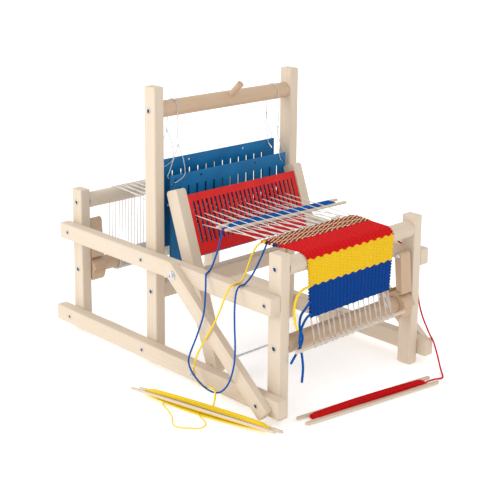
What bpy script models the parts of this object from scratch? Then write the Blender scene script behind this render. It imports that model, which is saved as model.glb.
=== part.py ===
"""Toy table loom with its warp, cloth and three stick shuttles.

Metres, +Z up, +Y to the back. The weaver sits on the -Y side, and left and right are the weaver's.
The origin is on the table, under the middle of the frame.
"""

import math

import bmesh
import bpy
from mathutils import Matrix, Vector

GAP = 0.0003  # between two pieces that touch

# Frame: every post and rail is the same batten, with its long side upright or front to back.
INNER_HALF = 0.150
POST_WIDE = 0.020
POST_DEEP = 0.028
RAIL_TALL = 0.029
RAIL_IN = INNER_HALF + POST_WIDE + GAP
RAIL_OUT = 0.1915
EDGE = 0.0022
POSTS = {"front": (-0.261, 0.269), "tall": (0.039, 0.486), "back": (0.253, 0.269)}
RAILS = {"bottom": (-0.293, 0.293, 0.0295), "middle": (-0.275, 0.277, 0.1915)}

# Braces lean from the foot of the front posts up to the middle rails.
BRACE_FOOT = (-0.258, 0.0317)
BRACE_HEAD = (-0.0593, 0.1916)
BRACE_WIDE = 0.026
BRACE_THICK = 0.0127
BRACE_PAST_FIXING = 0.0205
BRACE_CORNER = 0.005

# Round bars between the posts: (y, z, radius).
BAR_HALF = INNER_HALF - GAP
BACK_BEAM = (0.253, 0.2445, 0.0143)
BREAST_BEAM = (-0.261, 0.2445, 0.0143)
WARP_BEAM = (0.253, 0.1165, 0.014)
CLOTH_BEAM = (-0.261, 0.1165, 0.014)
ROLLER = (0.041, 0.445, 0.0142)
LOWER_BAR_Y = (0.029, 0.049)
LOWER_BAR_Z = (0.116, 0.144)

# Beater: two arms and a reed on one pivot rod, leaning back at rest.
PIVOT = (-0.094, 0.0294)
BEATER_LEAN = 20.0
ARM_IN, ARM_OUT = 0.1293, 0.1493
ARM_HALF_DEEP = 0.014
ARM_TOP = 0.300
ARM_CORNER = 0.006
ROD_RADIUS = 0.002
ROD_BORE = 0.00212
ROD_HOLE = 0.0023
REED_HALF = ARM_IN - GAP
REED_LOW, REED_HIGH = 0.183, 0.287
REED_FRONT, REED_THICK = 0.0112, 0.003
REED_SLOT = (0.004, 0.202, 0.274)  # width, low end, high end

# Threads: one in every dent of the reed, alternately above and below the shuttle.
DENT = 0.00975
DENTS = 25
THREADS = 23
THREAD_RADIUS = 0.0007
PICK_HALF = 0.0012  # half the thickness of the pick that crosses the threads, and of the hem's knots
FELL = (-0.178, 0.2603)
SHUTTLE_SPREADS = (-0.108, 0.2644, 0.2550)  # y, and the height of the upper and of the lower threads
BACK_SPAN = (-0.084, 0.080)  # where the warp lies on the back beam

# Heddles: blue panels with a hole for every second thread and a slot for the others.
HEDDLE_HALF = 0.1385
HEDDLE_TALL = 0.156
HEDDLE_THICK = 0.003
HEDDLES = {"front": (0.02575, 0.175, 0.248), "rear": (0.05625, 0.197, 0.270)}  # y, bottom, eyes
HEDDLE_SLOT = 0.0040
HEDDLE_EYE = 0.0024
HEDDLE_MARGIN = 0.022
TIE_X = (-0.069, 0.060)
TIE_DROP = 0.008
TIE_RADIUS = 0.0022
HOOK = (0.130, 0.013, 50.0)  # each corner slot's distance from the middle, drop from the top and slant
HOOK_LONG, HOOK_TALL = 0.016, 0.003

# Cords that hang the heddles from the roller.
CORD_RADIUS = 0.0007
CORD_X = 0.119
CORD_ARC = 0.01525
CORD_LEGS = (0.109, 0.1355)
CORD_FORK = 0.051
KNOT_RADIUS = 0.0017

# Ratchets, pawls and pegs.
WHEEL_RADIUS, WHEEL_ROOT = 0.027, 0.0205
WHEEL_TEETH = 6
WHEEL_BORE = 0.0145
WARP_WHEEL_X = (-0.1495, -0.1235)
CLOTH_WHEEL_X = (0.117, 0.143)
PAWL_Z = 0.2044
PAWL_AHEAD = 0.006  # the pawl's screw is this far in front of its beam's axis
PAWL_LEAN = 5.0
PAWL_HALF = 0.0065
PAWL_FRONT_LENGTH, PAWL_REAR_LENGTH = 0.0665, 0.059
PAWL_BORE = 0.0024
ROLLER_PEG = (0.008, 0.006, 47.0, -0.019, 0.045)  # x, radius, lean, start and end from the axis
CLOTH_PEG = (0.082, 0.0047, 10.0, 0.006, 0.038)
PEG_HOLE_REACH = 0.03  # how far from the beam's axis its hole is cut, past the beam's face

# Cloth, its hem threads and the stick they are tied to.
CLOTH_THICK = 0.003
CLOTH_START = -0.1796
CLOTH_HEM = 0.155
CLOTH_EDGES = ((-0.119, 0.098), (-0.107, 0.083))  # at the fell and at the hem
STICK = (-0.288, 0.1126, 0.003)
STICK_ENDS = (-0.148, 0.113)
LEADERS = 16
LEADER_RADIUS = 0.0007

# Winding of the warp on its beam.
WINDING_RADIUS = 0.019
WINDING_ENDS = (-0.086, 0.082)

# Stick shuttles, wound lengthwise from notch to notch.
SHUTTLE_LONG, SHUTTLE_WIDE, SHUTTLE_THICK = 0.280, 0.030, 0.0036
NOTCH_WIDE, NOTCH_DEEP = 0.015, 0.025
YARN_WIDE, YARN_HALF_THICK, YARN_WALL = 0.013, 0.0035, 0.0014
SHUTTLES = {  # centre, then heading and tilt in degrees
    "blue": ((0.0185, -0.0925, 0.2597), -3.12, 0.0),
    "yellow": ((-0.2345, -0.1733, 0.0068), -77.5, -20.0),
    "red": ((-0.0105, -0.324, YARN_HALF_THICK), -9.0, 0.0),
}

# Loose yarn from the cloth to each shuttle.
STRAND_RADIUS = 0.0008
STRAND_POINTS = 48
BLUE_ROUTE = (
    (-0.1055, -0.0860, 0.2597),
    (-0.1200, -0.0880, 0.2585),
    (-0.1330, -0.0980, 0.2500),
    (-0.1480, -0.1080, 0.2360),
    (-0.1610, -0.1130, 0.2200),
    (-0.1710, -0.1160, 0.2090),
    (-0.1810, -0.1210, 0.2078),
    (-0.1915, -0.1280, 0.2080),
    (-0.2000, -0.1370, 0.2020),
    (-0.2080, -0.1450, 0.1800),
    (-0.2110, -0.1440, 0.1500),
    (-0.2120, -0.1300, 0.1120),
    (-0.2125, -0.1130, 0.0750),
    (-0.2125, -0.1100, 0.0570),
    (-0.2125, -0.1230, 0.0410),
    (-0.2125, -0.1490, 0.0290),
    (-0.2125, -0.1730, 0.0280),
    (-0.2125, -0.1910, 0.0370),
    (-0.2125, -0.2060, 0.0560),
    (-0.2120, -0.2160, 0.0850),
    (-0.2120, -0.2190, 0.1150),
    (-0.2115, -0.2170, 0.1500),
    (-0.2090, -0.2140, 0.1800),
    (-0.2020, -0.2100, 0.2020),
    (-0.1915, -0.2060, 0.2086),
    (-0.1780, -0.2040, 0.2088),
    (-0.1640, -0.2050, 0.2200),
    (-0.1490, -0.2030, 0.2350),
    (-0.1340, -0.1980, 0.2480),
    (-0.1212, -0.1930, 0.2588),
)
YELLOW_ROUTE = (
    (-0.1212, -0.1830, 0.2600),
    (-0.1310, -0.1810, 0.2550),
    (-0.1440, -0.1830, 0.2430),
    (-0.1560, -0.1870, 0.2280),
    (-0.1680, -0.1900, 0.2130),
    (-0.1780, -0.1910, 0.2078),
    (-0.1905, -0.1920, 0.2080),
    (-0.1995, -0.1910, 0.2030),
    (-0.2050, -0.1860, 0.1860),
    (-0.2070, -0.1760, 0.1600),
    (-0.2075, -0.1620, 0.1350),
    (-0.2075, -0.1445, 0.1080),
    (-0.2075, -0.1258, 0.0775),
    (-0.2075, -0.1175, 0.0551),
    (-0.2075, -0.1184, 0.0396),
    (-0.2075, -0.1250, 0.0290),
    (-0.2078, -0.1400, 0.0262),
    (-0.2100, -0.1560, 0.0310),
    (-0.2160, -0.1740, 0.0350),
    (-0.2205, -0.1830, 0.0300),
    (-0.2250, -0.1855, 0.0190),
    (-0.2290, -0.1845, 0.0107),
)
YELLOW_LOOP = (  # slack that slips out from under the yellow shuttle's raised side
    (-0.2580, -0.1010, 0.0030),
    (-0.2646, -0.1079, 0.0013),
    (-0.2722, -0.1300, 0.0011),
    (-0.2817, -0.1501, 0.0011),
    (-0.2950, -0.1680, 0.0011),
    (-0.2985, -0.1790, 0.0011),
    (-0.2930, -0.1905, 0.0011),
    (-0.2847, -0.1995, 0.0011),
    (-0.2750, -0.2090, 0.0011),
    (-0.2620, -0.2070, 0.0011),
    (-0.2530, -0.1937, 0.0011),
    (-0.2490, -0.1790, 0.0013),
    (-0.2430, -0.1700, 0.0030),
)
RED_ROUTE = (
    (0.0997, -0.2120, 0.2600),
    (0.1080, -0.2180, 0.2540),
    (0.1240, -0.2280, 0.2400),
    (0.1420, -0.2350, 0.2250),
    (0.1580, -0.2390, 0.2130),
    (0.1700, -0.2400, 0.2080),
    (0.1810, -0.2410, 0.2073),
    (0.1915, -0.2430, 0.2070),
    (0.1970, -0.2460, 0.1950),
    (0.1975, -0.2490, 0.1600),
    (0.1960, -0.2510, 0.1250),
    (0.1945, -0.2570, 0.0980),
    (0.1925, -0.2670, 0.0770),
    (0.1905, -0.2790, 0.0600),
    (0.1888, -0.2890, 0.0480),
    (0.1860, -0.2985, 0.0400),
    (0.1790, -0.3130, 0.0220),
    (0.1680, -0.3290, 0.0060),
    (0.1580, -0.3410, 0.0013),
    (0.1490, -0.3480, 0.0012),
    (0.1400, -0.3480, 0.0020),
    (0.1280, -0.3458, 0.0034),
    (0.1115, -0.3433, 0.0035),
)

# Colour, roughness and metallic value of each material.
LOOKS = {
    "pine": ((0.80, 0.66, 0.45), 0.55, 0.0),
    "steel": ((0.62, 0.62, 0.63), 0.30, 1.0),
    "red_plastic": ((0.78, 0.05, 0.04), 0.35, 0.0),
    "blue_plastic": ((0.02, 0.22, 0.47), 0.35, 0.0),
    "cotton": ((0.86, 0.84, 0.79), 0.90, 0.0),
    "woven_cloth": ((0.66, 0.03, 0.05), 0.95, 0.0),
    "red_yarn": ((0.70, 0.03, 0.04), 0.95, 0.0),
    "blue_yarn": ((0.02, 0.08, 0.35), 0.95, 0.0),
    "yellow_yarn": ((0.90, 0.68, 0.08), 0.95, 0.0),
}


def clear_scene():
    for obj in list(bpy.data.objects):
        bpy.data.objects.remove(obj, do_unlink=True)


def new_collection(name):
    collection = bpy.data.collections.new(name)
    bpy.context.scene.collection.children.link(collection)
    return collection


def new_material(name):
    color, roughness, metallic = LOOKS[name]
    material = bpy.data.materials.new(name)
    material.use_nodes = True
    shader = material.node_tree.nodes["Principled BSDF"]
    shader.inputs["Base Color"].default_value = (*color, 1.0)
    shader.inputs["Roughness"].default_value = roughness
    shader.inputs["Metallic"].default_value = metallic
    return material


clear_scene()
LOOM = new_collection("loom")
CUTTERS = new_collection("loom_cutters")
MATERIALS = {name: new_material(name) for name in LOOKS}


# Building blocks -----------------------------------------------------------------------------


def place(obj, location, parent=None, material=None):
    """Links a piece of the loom, at a point in its parent's frame."""
    LOOM.objects.link(obj)
    obj.location = location
    obj.parent = parent
    if material:
        obj.data.materials.append(MATERIALS[material])
    return obj


def as_cutter(obj):
    CUTTERS.objects.link(obj)
    obj.hide_render = True
    obj.display_type = "WIRE"
    return obj


def pivot(name, location, lean=0.0):
    """An empty on a joint's axis, which the moving pieces hang from."""
    empty = bpy.data.objects.new(name, None)
    empty.empty_display_size = 0.02
    place(empty, location)
    empty.rotation_euler.x = math.radians(lean)
    return empty


def mesh_object(name, bm):
    bmesh.ops.recalc_face_normals(bm, faces=bm.faces)
    mesh = bpy.data.meshes.new(name)
    bm.to_mesh(mesh)
    bm.free()
    return bpy.data.objects.new(name, mesh)


def smooth(obj):
    obj.data.shade_smooth()
    obj.data.set_sharp_from_angle(angle=math.radians(35))
    return obj


def soften(obj, width, segments=2):
    bevel = obj.modifiers.new("Edge", "BEVEL")
    bevel.width = width
    bevel.segments = segments
    bevel.limit_method = "ANGLE"
    bevel.angle_limit = math.radians(40)
    return obj


def boolean(obj, other, operation="DIFFERENCE"):
    change = obj.modifiers.new("Boolean", "BOOLEAN")
    change.operation = operation
    change.object = other


def cube_into(bm, low, high):
    centre = [(a + b) / 2 for a, b in zip(low, high)]
    size = [b - a for a, b in zip(low, high)]
    matrix = Matrix.Translation(centre) @ Matrix.Diagonal((*size, 1.0))
    bmesh.ops.create_cube(bm, size=1.0, matrix=matrix)


def cylinder_into(bm, centre, radius, depth, turn, sides):
    matrix = Matrix.Translation(centre) @ turn
    bmesh.ops.create_cone(
        bm, cap_ends=True, segments=sides, radius1=radius, radius2=radius, depth=depth, matrix=matrix
    )


ALONG_X = Matrix.Rotation(math.radians(90), 4, "Y")
ALONG_Y = Matrix.Rotation(math.radians(90), 4, "X")


def box(name, low, high, material, parent=None, edge=EDGE):
    """A batten or plate between two opposite corners, with its origin at its centre."""
    centre = Vector([(a + b) / 2 for a, b in zip(low, high)])
    bm = bmesh.new()
    cube_into(bm, Vector(low) - centre, Vector(high) - centre)
    obj = place(mesh_object(name, bm), centre, parent, material)
    if edge:
        soften(obj, edge)
    return obj


def round_bar(name, ends, radius, material, location=(0, 0, 0), parent=None, sides=32, edge=0.001):
    """A round bar along X, with its origin on its axis."""
    bm = bmesh.new()
    middle = (ends[0] + ends[1]) / 2
    cylinder_into(bm, (middle, 0, 0), radius, ends[1] - ends[0], ALONG_X, sides)
    obj = place(smooth(mesh_object(name, bm)), location, parent, material)
    if edge:
        soften(obj, edge, 1)
    return obj


def peg(name, size, material, parent):
    """A round peg in a beam, square to the parent's X axis and leaning to the front."""
    x, radius, lean, start, end = size
    bm = bmesh.new()
    upright = Matrix.Identity(4)
    cylinder_into(bm, (0, 0, (start + end) / 2), radius, end - start, upright, 20)
    obj = place(smooth(mesh_object(name, bm)), (x, 0, 0), parent, material)
    obj.rotation_euler.x = math.radians(lean)
    return soften(obj, 0.001)


def peg_hole(name, size, parent, deep):
    """The cutter for a peg's hole, 0.3 mm wider than the peg."""
    x, radius, lean, start, _ = size
    bm = bmesh.new()
    low = start - GAP if deep else -PEG_HOLE_REACH
    middle = (low + PEG_HOLE_REACH) / 2
    depth = PEG_HOLE_REACH - low
    cylinder_into(bm, (0, 0, middle), radius + GAP, depth, Matrix.Identity(4), 20)
    obj = as_cutter(mesh_object(name, bm))
    obj.parent = parent
    obj.location = (x, 0, 0)
    obj.rotation_euler.x = math.radians(lean)
    return obj


def turned(name, profile, location, turn_y, material, steps=16):
    """A turned piece: (radius, height) pairs from the top of its axis to the bottom."""
    bm = bmesh.new()
    corners = [bm.verts.new((radius, 0, height)) for radius, height in profile]
    for first, second in zip(corners, corners[1:]):
        bm.edges.new((first, second))
    mesh = bpy.data.meshes.new(name)
    bm.to_mesh(mesh)
    bm.free()
    obj = place(bpy.data.objects.new(name, mesh), location, None, material)
    obj.rotation_euler.y = math.radians(turn_y)
    screw = obj.modifiers.new("Turn", "SCREW")
    screw.steps = screw.render_steps = steps
    screw.use_merge_vertices = True
    screw.merge_threshold = 0.00001
    return obj


def arc(centre, radius, start, end, steps):
    """Points on an arc, with angles in degrees."""
    points = []
    for step in range(steps + 1):
        angle = math.radians(start + (end - start) * step / steps)
        points.append((centre[0] + radius * math.cos(angle), centre[1] + radius * math.sin(angle)))
    return points


def plate_curve(name, outlines, thick):
    """A flat outline, with any holes after it, as a filled 2D curve of the given thickness."""
    data = bpy.data.curves.new(name, "CURVE")
    data.dimensions = "2D"
    data.fill_mode = "BOTH"
    data.extrude = thick / 2
    for outline in outlines:
        spline = data.splines.new("POLY")
        spline.points.add(len(outline) - 1)
        spline.use_cyclic_u = True
        for point, (across, up) in zip(spline.points, outline):
            point.co = (across, up, 0, 1)
    return bpy.data.objects.new(name, data)


def side_plate(name, outlines, x_ends, location, material, parent=None):
    """A plate that faces sideways: its outline is in (y, z) and its thickness lies between x_ends."""
    obj = plate_curve(name, outlines, x_ends[1] - x_ends[0])
    middle = Vector(((x_ends[0] + x_ends[1]) / 2, 0, 0))
    place(obj, Vector(location) + middle, parent, material)
    obj.rotation_euler = (math.radians(90), 0, math.radians(90))
    return obj


def tube_curve(name, routes, radius, bevel_resolution):
    """Round tubes along point lists, as one curve object with filled caps."""
    data = bpy.data.curves.new(name, "CURVE")
    data.dimensions = "3D"
    data.bevel_depth = radius
    data.bevel_resolution = bevel_resolution
    data.use_fill_caps = True
    for route in routes:
        spline = data.splines.new("POLY")
        spline.points.add(len(route) - 1)
        for point, co in zip(spline.points, route):
            point.co = (*co, 1)
    return bpy.data.objects.new(name, data)


def as_mesh(curve):
    """The curve's mesh with its caps welded, in place of the curve."""
    bpy.context.scene.collection.objects.link(curve)
    graph = bpy.context.evaluated_depsgraph_get()
    mesh = bpy.data.meshes.new_from_object(curve.evaluated_get(graph))
    bm = bmesh.new()
    bm.from_mesh(mesh)
    bmesh.ops.remove_doubles(bm, verts=bm.verts, dist=0.000001)
    bm.to_mesh(mesh)
    bm.free()
    name = curve.name
    matrix = curve.matrix_world.copy()
    bpy.data.objects.remove(curve, do_unlink=True)
    obj = bpy.data.objects.new(name, mesh)
    obj.matrix_world = matrix
    return obj


def through(points, count):
    """Evenly spaced points on the smooth curve through a route."""
    dense = []
    padded = [points[0], *points, points[-1]]
    for before, start, end, after in zip(padded, padded[1:], padded[2:], padded[3:]):
        a, b, c, d = (Vector(p) for p in (before, start, end, after))
        for step in range(20):
            t = step / 20
            bend = (2 * a - 5 * b + 4 * c - d) * t * t + (3 * b - a - 3 * c + d) * t * t * t
            dense.append(b + ((c - a) * t + bend) / 2)
    dense.append(Vector(points[-1]))
    lengths = [0.0]
    for first, second in zip(dense, dense[1:]):
        lengths.append(lengths[-1] + (second - first).length)
    result = []
    index = 0
    for step in range(count):
        wanted = lengths[-1] * step / (count - 1)
        while index < len(dense) - 2 and lengths[index + 1] < wanted:
            index += 1
        span = lengths[index + 1] - lengths[index]
        result.append(dense[index].lerp(dense[index + 1], (wanted - lengths[index]) / span))
    return result


# Frame ---------------------------------------------------------------------------------------


def rod_hole_cutter():
    bm = bmesh.new()
    cylinder_into(bm, (0, 0, 0), ROD_HOLE, 0.5, ALONG_X, 16)
    cutter = as_cutter(mesh_object("rod_hole", bm))
    cutter.location = (0, *PIVOT)
    return cutter


def build_frame():
    rod_hole = rod_hole_cutter()
    for side, sign in (("left", -1), ("right", 1)):
        inner, outer = sorted((sign * INNER_HALF, sign * (INNER_HALF + POST_WIDE)))
        for which, (y, top) in POSTS.items():
            low = (inner, y - POST_DEEP / 2, 0)
            box(f"post_{which}_{side}", low, (outer, y + POST_DEEP / 2, top), "pine")
        inner, outer = sorted((sign * RAIL_IN, sign * RAIL_OUT))
        for which, (front, back, z) in RAILS.items():
            low = (inner, front, z - RAIL_TALL / 2)
            rail = box(f"rail_{which}_{side}", low, (outer, back, z + RAIL_TALL / 2), "pine")
            if which == "bottom":
                boolean(rail, rod_hole)
        build_brace(side, sign)
    build_pivot_rod()
    low = (-BAR_HALF, LOWER_BAR_Y[0], LOWER_BAR_Z[0])
    box("lower_bar", low, (BAR_HALF, LOWER_BAR_Y[1], LOWER_BAR_Z[1]), "pine")
    for name, (y, z, radius) in (("back_beam", BACK_BEAM), ("breast_beam", BREAST_BEAM)):
        round_bar(name, (-BAR_HALF, BAR_HALF), radius, "pine", (0, y, z))


def rounded_rectangle(low, high, corner):
    """An outline with four round corners, counter-clockwise."""
    points = []
    centres = (
        (high[0] - corner, high[1] - corner),
        (low[0] + corner, high[1] - corner),
        (low[0] + corner, low[1] + corner),
        (high[0] - corner, low[1] + corner),
    )
    for quarter, centre in enumerate(centres):
        points += arc(centre, corner, 90 * quarter, 90 * quarter + 90, 4)
    return points


def build_brace(side, sign):
    foot, head = Vector(BRACE_FOOT), Vector(BRACE_HEAD)
    along = head - foot
    half = along.length / 2 + BRACE_PAST_FIXING
    outline = rounded_rectangle((-half, -BRACE_WIDE / 2), (half, BRACE_WIDE / 2), BRACE_CORNER)
    x_ends = sorted((sign * (RAIL_OUT + GAP), sign * (RAIL_OUT + GAP + BRACE_THICK)))
    middle = (foot + head) / 2
    brace = side_plate(f"brace_{side}", [outline], x_ends, (0, *middle), "pine")
    brace.rotation_mode = "QUATERNION"
    slope = Matrix.Rotation(math.atan2(along.y, along.x), 3, "X")
    facing = Matrix.Rotation(math.radians(90), 3, "Z") @ Matrix.Rotation(math.radians(90), 3, "X")
    brace.rotation_quaternion = (slope @ facing).to_quaternion()
    face = sign * (RAIL_OUT + BRACE_THICK + 2 * GAP)
    washer_and_head = (
        (0, 0.0052),
        (0.0030, 0.0049),
        (0.0044, 0.0042),
        (0.0044, 0.0013),
        (0.0074, 0.0011),
        (0.0075, 0.0),
        (0, 0.0),
    )
    turned(f"brace_bolt_{side}", washer_and_head, (face, *BRACE_HEAD), 90 * sign, "steel")


def build_pivot_rod():
    end = RAIL_OUT - GAP
    round_bar("pivot_rod", (-end, end), ROD_RADIUS, "steel", (0, *PIVOT), None, 16, 0)
    washer_and_nut = (
        (0, 0.0056),
        (0.0020, 0.0055),
        (0.0040, 0.0042),
        (0.0042, 0.0013),
        (0.0072, 0.0011),
        (0.0073, 0.0),
        (0, 0.0),
    )
    for side, sign in (("left", -1), ("right", 1)):
        location = (sign * (RAIL_OUT + GAP), *PIVOT)
        turned(f"pivot_nut_{side}", washer_and_nut, location, 90 * sign, "steel")


# Beater --------------------------------------------------------------------------------------


def build_beater():
    """Arms and reed in the pivot's own frame: Z runs up the arms and -Y is their front."""
    beater = pivot("beater_pivot", (0, *PIVOT), -BEATER_LEAN)
    top = [
        *arc((ARM_HALF_DEEP - ARM_CORNER, ARM_TOP - ARM_CORNER), ARM_CORNER, 0, 90, 4),
        *arc((ARM_CORNER - ARM_HALF_DEEP, ARM_TOP - ARM_CORNER), ARM_CORNER, 90, 180, 4),
    ]
    outline = top + arc((0, 0), ARM_HALF_DEEP, 180, 360, 12)
    bore = arc((0, 0), ROD_BORE, 0, 360 - 22.5, 15)
    for side, x_ends in (("left", (-ARM_OUT, -ARM_IN)), ("right", (ARM_IN, ARM_OUT))):
        side_plate(f"beater_arm_{side}", [outline, bore], x_ends, (0, 0, 0), "pine", beater)
    low = (-REED_HALF, -REED_FRONT, REED_LOW)
    high = (REED_HALF, REED_THICK - REED_FRONT, REED_HIGH)
    reed = box("reed", low, high, "red_plastic", beater, 0)
    width, low_end, high_end = REED_SLOT
    bm = bmesh.new()
    for index in range(DENTS):
        x = dent_x(index)
        cube_into(bm, (x - width / 2, -0.03, low_end), (x + width / 2, 0.02, high_end))
    slots = as_cutter(mesh_object("reed_slots", bm))
    slots.parent = beater
    boolean(reed, slots)


def dent_x(index):
    return (index - (DENTS - 1) / 2) * DENT


# Heddles, their cords and the roller ---------------------------------------------------------


def heddle_cutter(name, y, bottom, eye_height, eyes_at):
    """Slots for every second dent and eyes for the rest, with the holes for the ties."""
    bm = bmesh.new()
    for index in range(DENTS):
        x = dent_x(index)
        if index % 2 == eyes_at:
            cylinder_into(bm, (x, y, eye_height), HEDDLE_EYE, 0.02, ALONG_Y, 8)
            continue
        low = (x - HEDDLE_SLOT / 2, y - 0.01, bottom + HEDDLE_MARGIN)
        cube_into(bm, low, (x + HEDDLE_SLOT / 2, y + 0.01, bottom + HEDDLE_TALL - HEDDLE_MARGIN))
    for x in TIE_X:
        cylinder_into(bm, (x, y, bottom + HEDDLE_TALL - TIE_DROP), TIE_RADIUS, 0.02, ALONG_Y, 8)
    hook_x, hook_drop, hook_slant = HOOK
    for sign in (-1, 1):
        slant = Matrix.Rotation(math.radians(sign * hook_slant), 4, "Y")
        centre = Matrix.Translation((sign * hook_x, y, bottom + HEDDLE_TALL - hook_drop))
        matrix = centre @ slant @ Matrix.Diagonal((HOOK_LONG, 0.02, HOOK_TALL, 1.0))
        bmesh.ops.create_cube(bm, size=1.0, matrix=matrix)
    return as_cutter(mesh_object(name, bm))


def build_heddles():
    for eyes_at, (which, (y, bottom, eye_height)) in zip((1, 0), HEDDLES.items()):
        low = (-HEDDLE_HALF, y - HEDDLE_THICK / 2, bottom)
        high = (HEDDLE_HALF, y + HEDDLE_THICK / 2, bottom + HEDDLE_TALL)
        panel = box(f"heddle_{which}", low, high, "blue_plastic", None, 0)
        cutter = heddle_cutter(f"heddle_{which}_openings", y, bottom, eye_height, eyes_at)
        boolean(panel, cutter)
        for side, sign in (("left", -1), ("right", 1)):
            build_heddle_cord(f"heddle_cord_{which}_{side}", sign, y, bottom + HEDDLE_TALL)


def build_heddle_cord(name, sign, y, panel_top):
    """A cord from the roller that forks at a knot into two legs down to the panel."""
    knot = Vector((sign * CORD_X, y, panel_top + CORD_FORK))
    bm = bmesh.new()
    bmesh.ops.create_uvsphere(bm, u_segments=8, v_segments=6, radius=KNOT_RADIUS)
    cord = place(smooth(mesh_object(name, bm)), knot, None, "cotton")
    roller_height = ROLLER[1]
    ends = [(sign * CORD_X, y, roller_height)]
    ends += [(sign * x, y, panel_top + 2 * GAP) for x in CORD_LEGS]
    for number, end in enumerate(ends):
        run = as_mesh(tube_curve(f"{name}_run_{number}", [[knot, end]], CORD_RADIUS, 1))
        boolean(cord, as_cutter(run), "UNION")


def build_roller():
    y, z, radius = ROLLER
    axis = pivot("roller_axis", (0, y, z))
    roller = round_bar("harness_roller", (-BAR_HALF, BAR_HALF), radius, "pine", parent=axis)
    boolean(roller, peg_hole("roller_peg_hole", ROLLER_PEG, axis, False))
    peg("roller_peg", ROLLER_PEG, "pine", axis)
    for side, sign in (("left", -1), ("right", 1)):
        over = [(sign * CORD_X, *point) for point in arc((y, z), CORD_ARC, 2, 178, 12)]
        cord = tube_curve(f"roller_cord_{side}", [over], CORD_RADIUS, 2)
        place(cord, (0, 0, 0), None, "cotton")


# Warp beam, cloth beam, ratchets and pawls ---------------------------------------------------


def ratchet_outline():
    """Saw teeth: each rises along an arc and drops straight back to the root."""
    points = []
    pitch = 360 / WHEEL_TEETH
    for tooth in range(WHEEL_TEETH):
        for step in range(7):
            angle = math.radians(tooth * pitch + pitch * step / 6 - (0.02 if step == 6 else 0))
            radius = WHEEL_ROOT + (WHEEL_RADIUS - WHEEL_ROOT) * step / 6
            points.append((radius * math.cos(angle), radius * math.sin(angle)))
    return points


def pawl_outline():
    """A board hanging from its screw, leaning to the front, with its foot cut to the wheel."""
    lean = math.radians(PAWL_LEAN)
    down = Vector((-math.sin(lean), -math.cos(lean)))
    ahead = Vector((-math.cos(lean), math.sin(lean)))
    rear_foot = down * PAWL_REAR_LENGTH - ahead * PAWL_HALF
    front_foot = down * PAWL_FRONT_LENGTH + ahead * PAWL_HALF
    head = arc((0, 0), PAWL_HALF, PAWL_LEAN * -1, 180 - PAWL_LEAN, 10)
    return [*head, tuple(front_foot), tuple(rear_foot)]


def build_ratchet_set(which, beam, wheel_x):
    """The wheel that turns with a beam, and the pawl and screw over it."""
    y, z, radius = beam
    axis = pivot(f"{which}_beam_axis", (0, y, z))
    bar = round_bar(f"{which}_beam", (-BAR_HALF, BAR_HALF), radius, "pine", parent=axis)
    bore = arc((0, 0), WHEEL_BORE, 0, 360 - 11.25, 31)
    outlines = [ratchet_outline(), bore]
    side_plate(f"{which}_ratchet", outlines, wheel_x, (0, 0, 0), "pine", axis)
    screw_point = (0, y - PAWL_AHEAD, PAWL_Z)
    pawl_axis = pivot(f"{which}_pawl_axis", screw_point)
    screw_bore = arc((0, 0), PAWL_BORE, 0, 337.5, 15)
    outlines = [pawl_outline(), screw_bore]
    side_plate(f"{which}_pawl", outlines, wheel_x, (0, 0, 0), "pine", pawl_axis)
    build_pawl_screw(which, wheel_x, screw_point)
    return axis, bar


def build_pawl_screw(which, wheel_x, screw_point):
    """A screw through the pawl into the post, with its head on the pawl's inner face."""
    sign = -1 if wheel_x[0] < 0 else 1
    inner = min(wheel_x, key=abs)
    reach = BAR_HALF - abs(inner)
    profile = (
        (0, 0.0022),
        (0.0030, 0.0018),
        (0.0042, 0.0),
        (0.0020, -GAP),
        (0.0020, -reach - GAP),
        (0, -reach - GAP),
    )
    location = (inner - sign * GAP, screw_point[1], screw_point[2])
    turned(f"{which}_pawl_screw", profile, location, -90 * sign, "steel", 12)


def build_beams():
    axis, _ = build_ratchet_set("warp", WARP_BEAM, WARP_WHEEL_X)
    winding_curve = tube_ring("warp_winding", WINDING_ENDS, WARP_BEAM[2] + GAP + 0.0002, WINDING_RADIUS)
    place(winding_curve, (0, 0, 0), axis, "cotton")
    axis, bar = build_ratchet_set("cloth", CLOTH_BEAM, CLOTH_WHEEL_X)
    boolean(bar, peg_hole("cloth_peg_hole", CLOTH_PEG, axis, True))
    peg("cloth_beam_peg", CLOTH_PEG, "pine", axis)


def tube_ring(name, ends, inner, outer):
    """A sleeve along X around its own axis."""
    bm = bmesh.new()
    slope = 0.004
    corners = (
        (ends[0], inner),
        (ends[1], inner),
        (ends[1], outer - 0.002),
        (ends[1] - slope, outer),
        (ends[0] + slope, outer),
        (ends[0], outer - 0.002),
    )
    made = [bm.verts.new((x, radius, 0)) for x, radius in corners]
    for first, second in zip(made, [*made[1:], made[0]]):
        bm.edges.new((first, second))
    mesh = bpy.data.meshes.new(name)
    bm.to_mesh(mesh)
    bm.free()
    obj = bpy.data.objects.new(name, mesh)
    screw = obj.modifiers.new("Turn", "SCREW")
    screw.axis = "X"
    screw.steps = screw.render_steps = 32
    screw.use_merge_vertices = True
    screw.merge_threshold = 0.00001
    return obj


# Warp, cloth and its hem ---------------------------------------------------------------------


def back_x(index):
    return BACK_SPAN[0] + (BACK_SPAN[1] - BACK_SPAN[0]) * index / (THREADS - 1)


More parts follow.
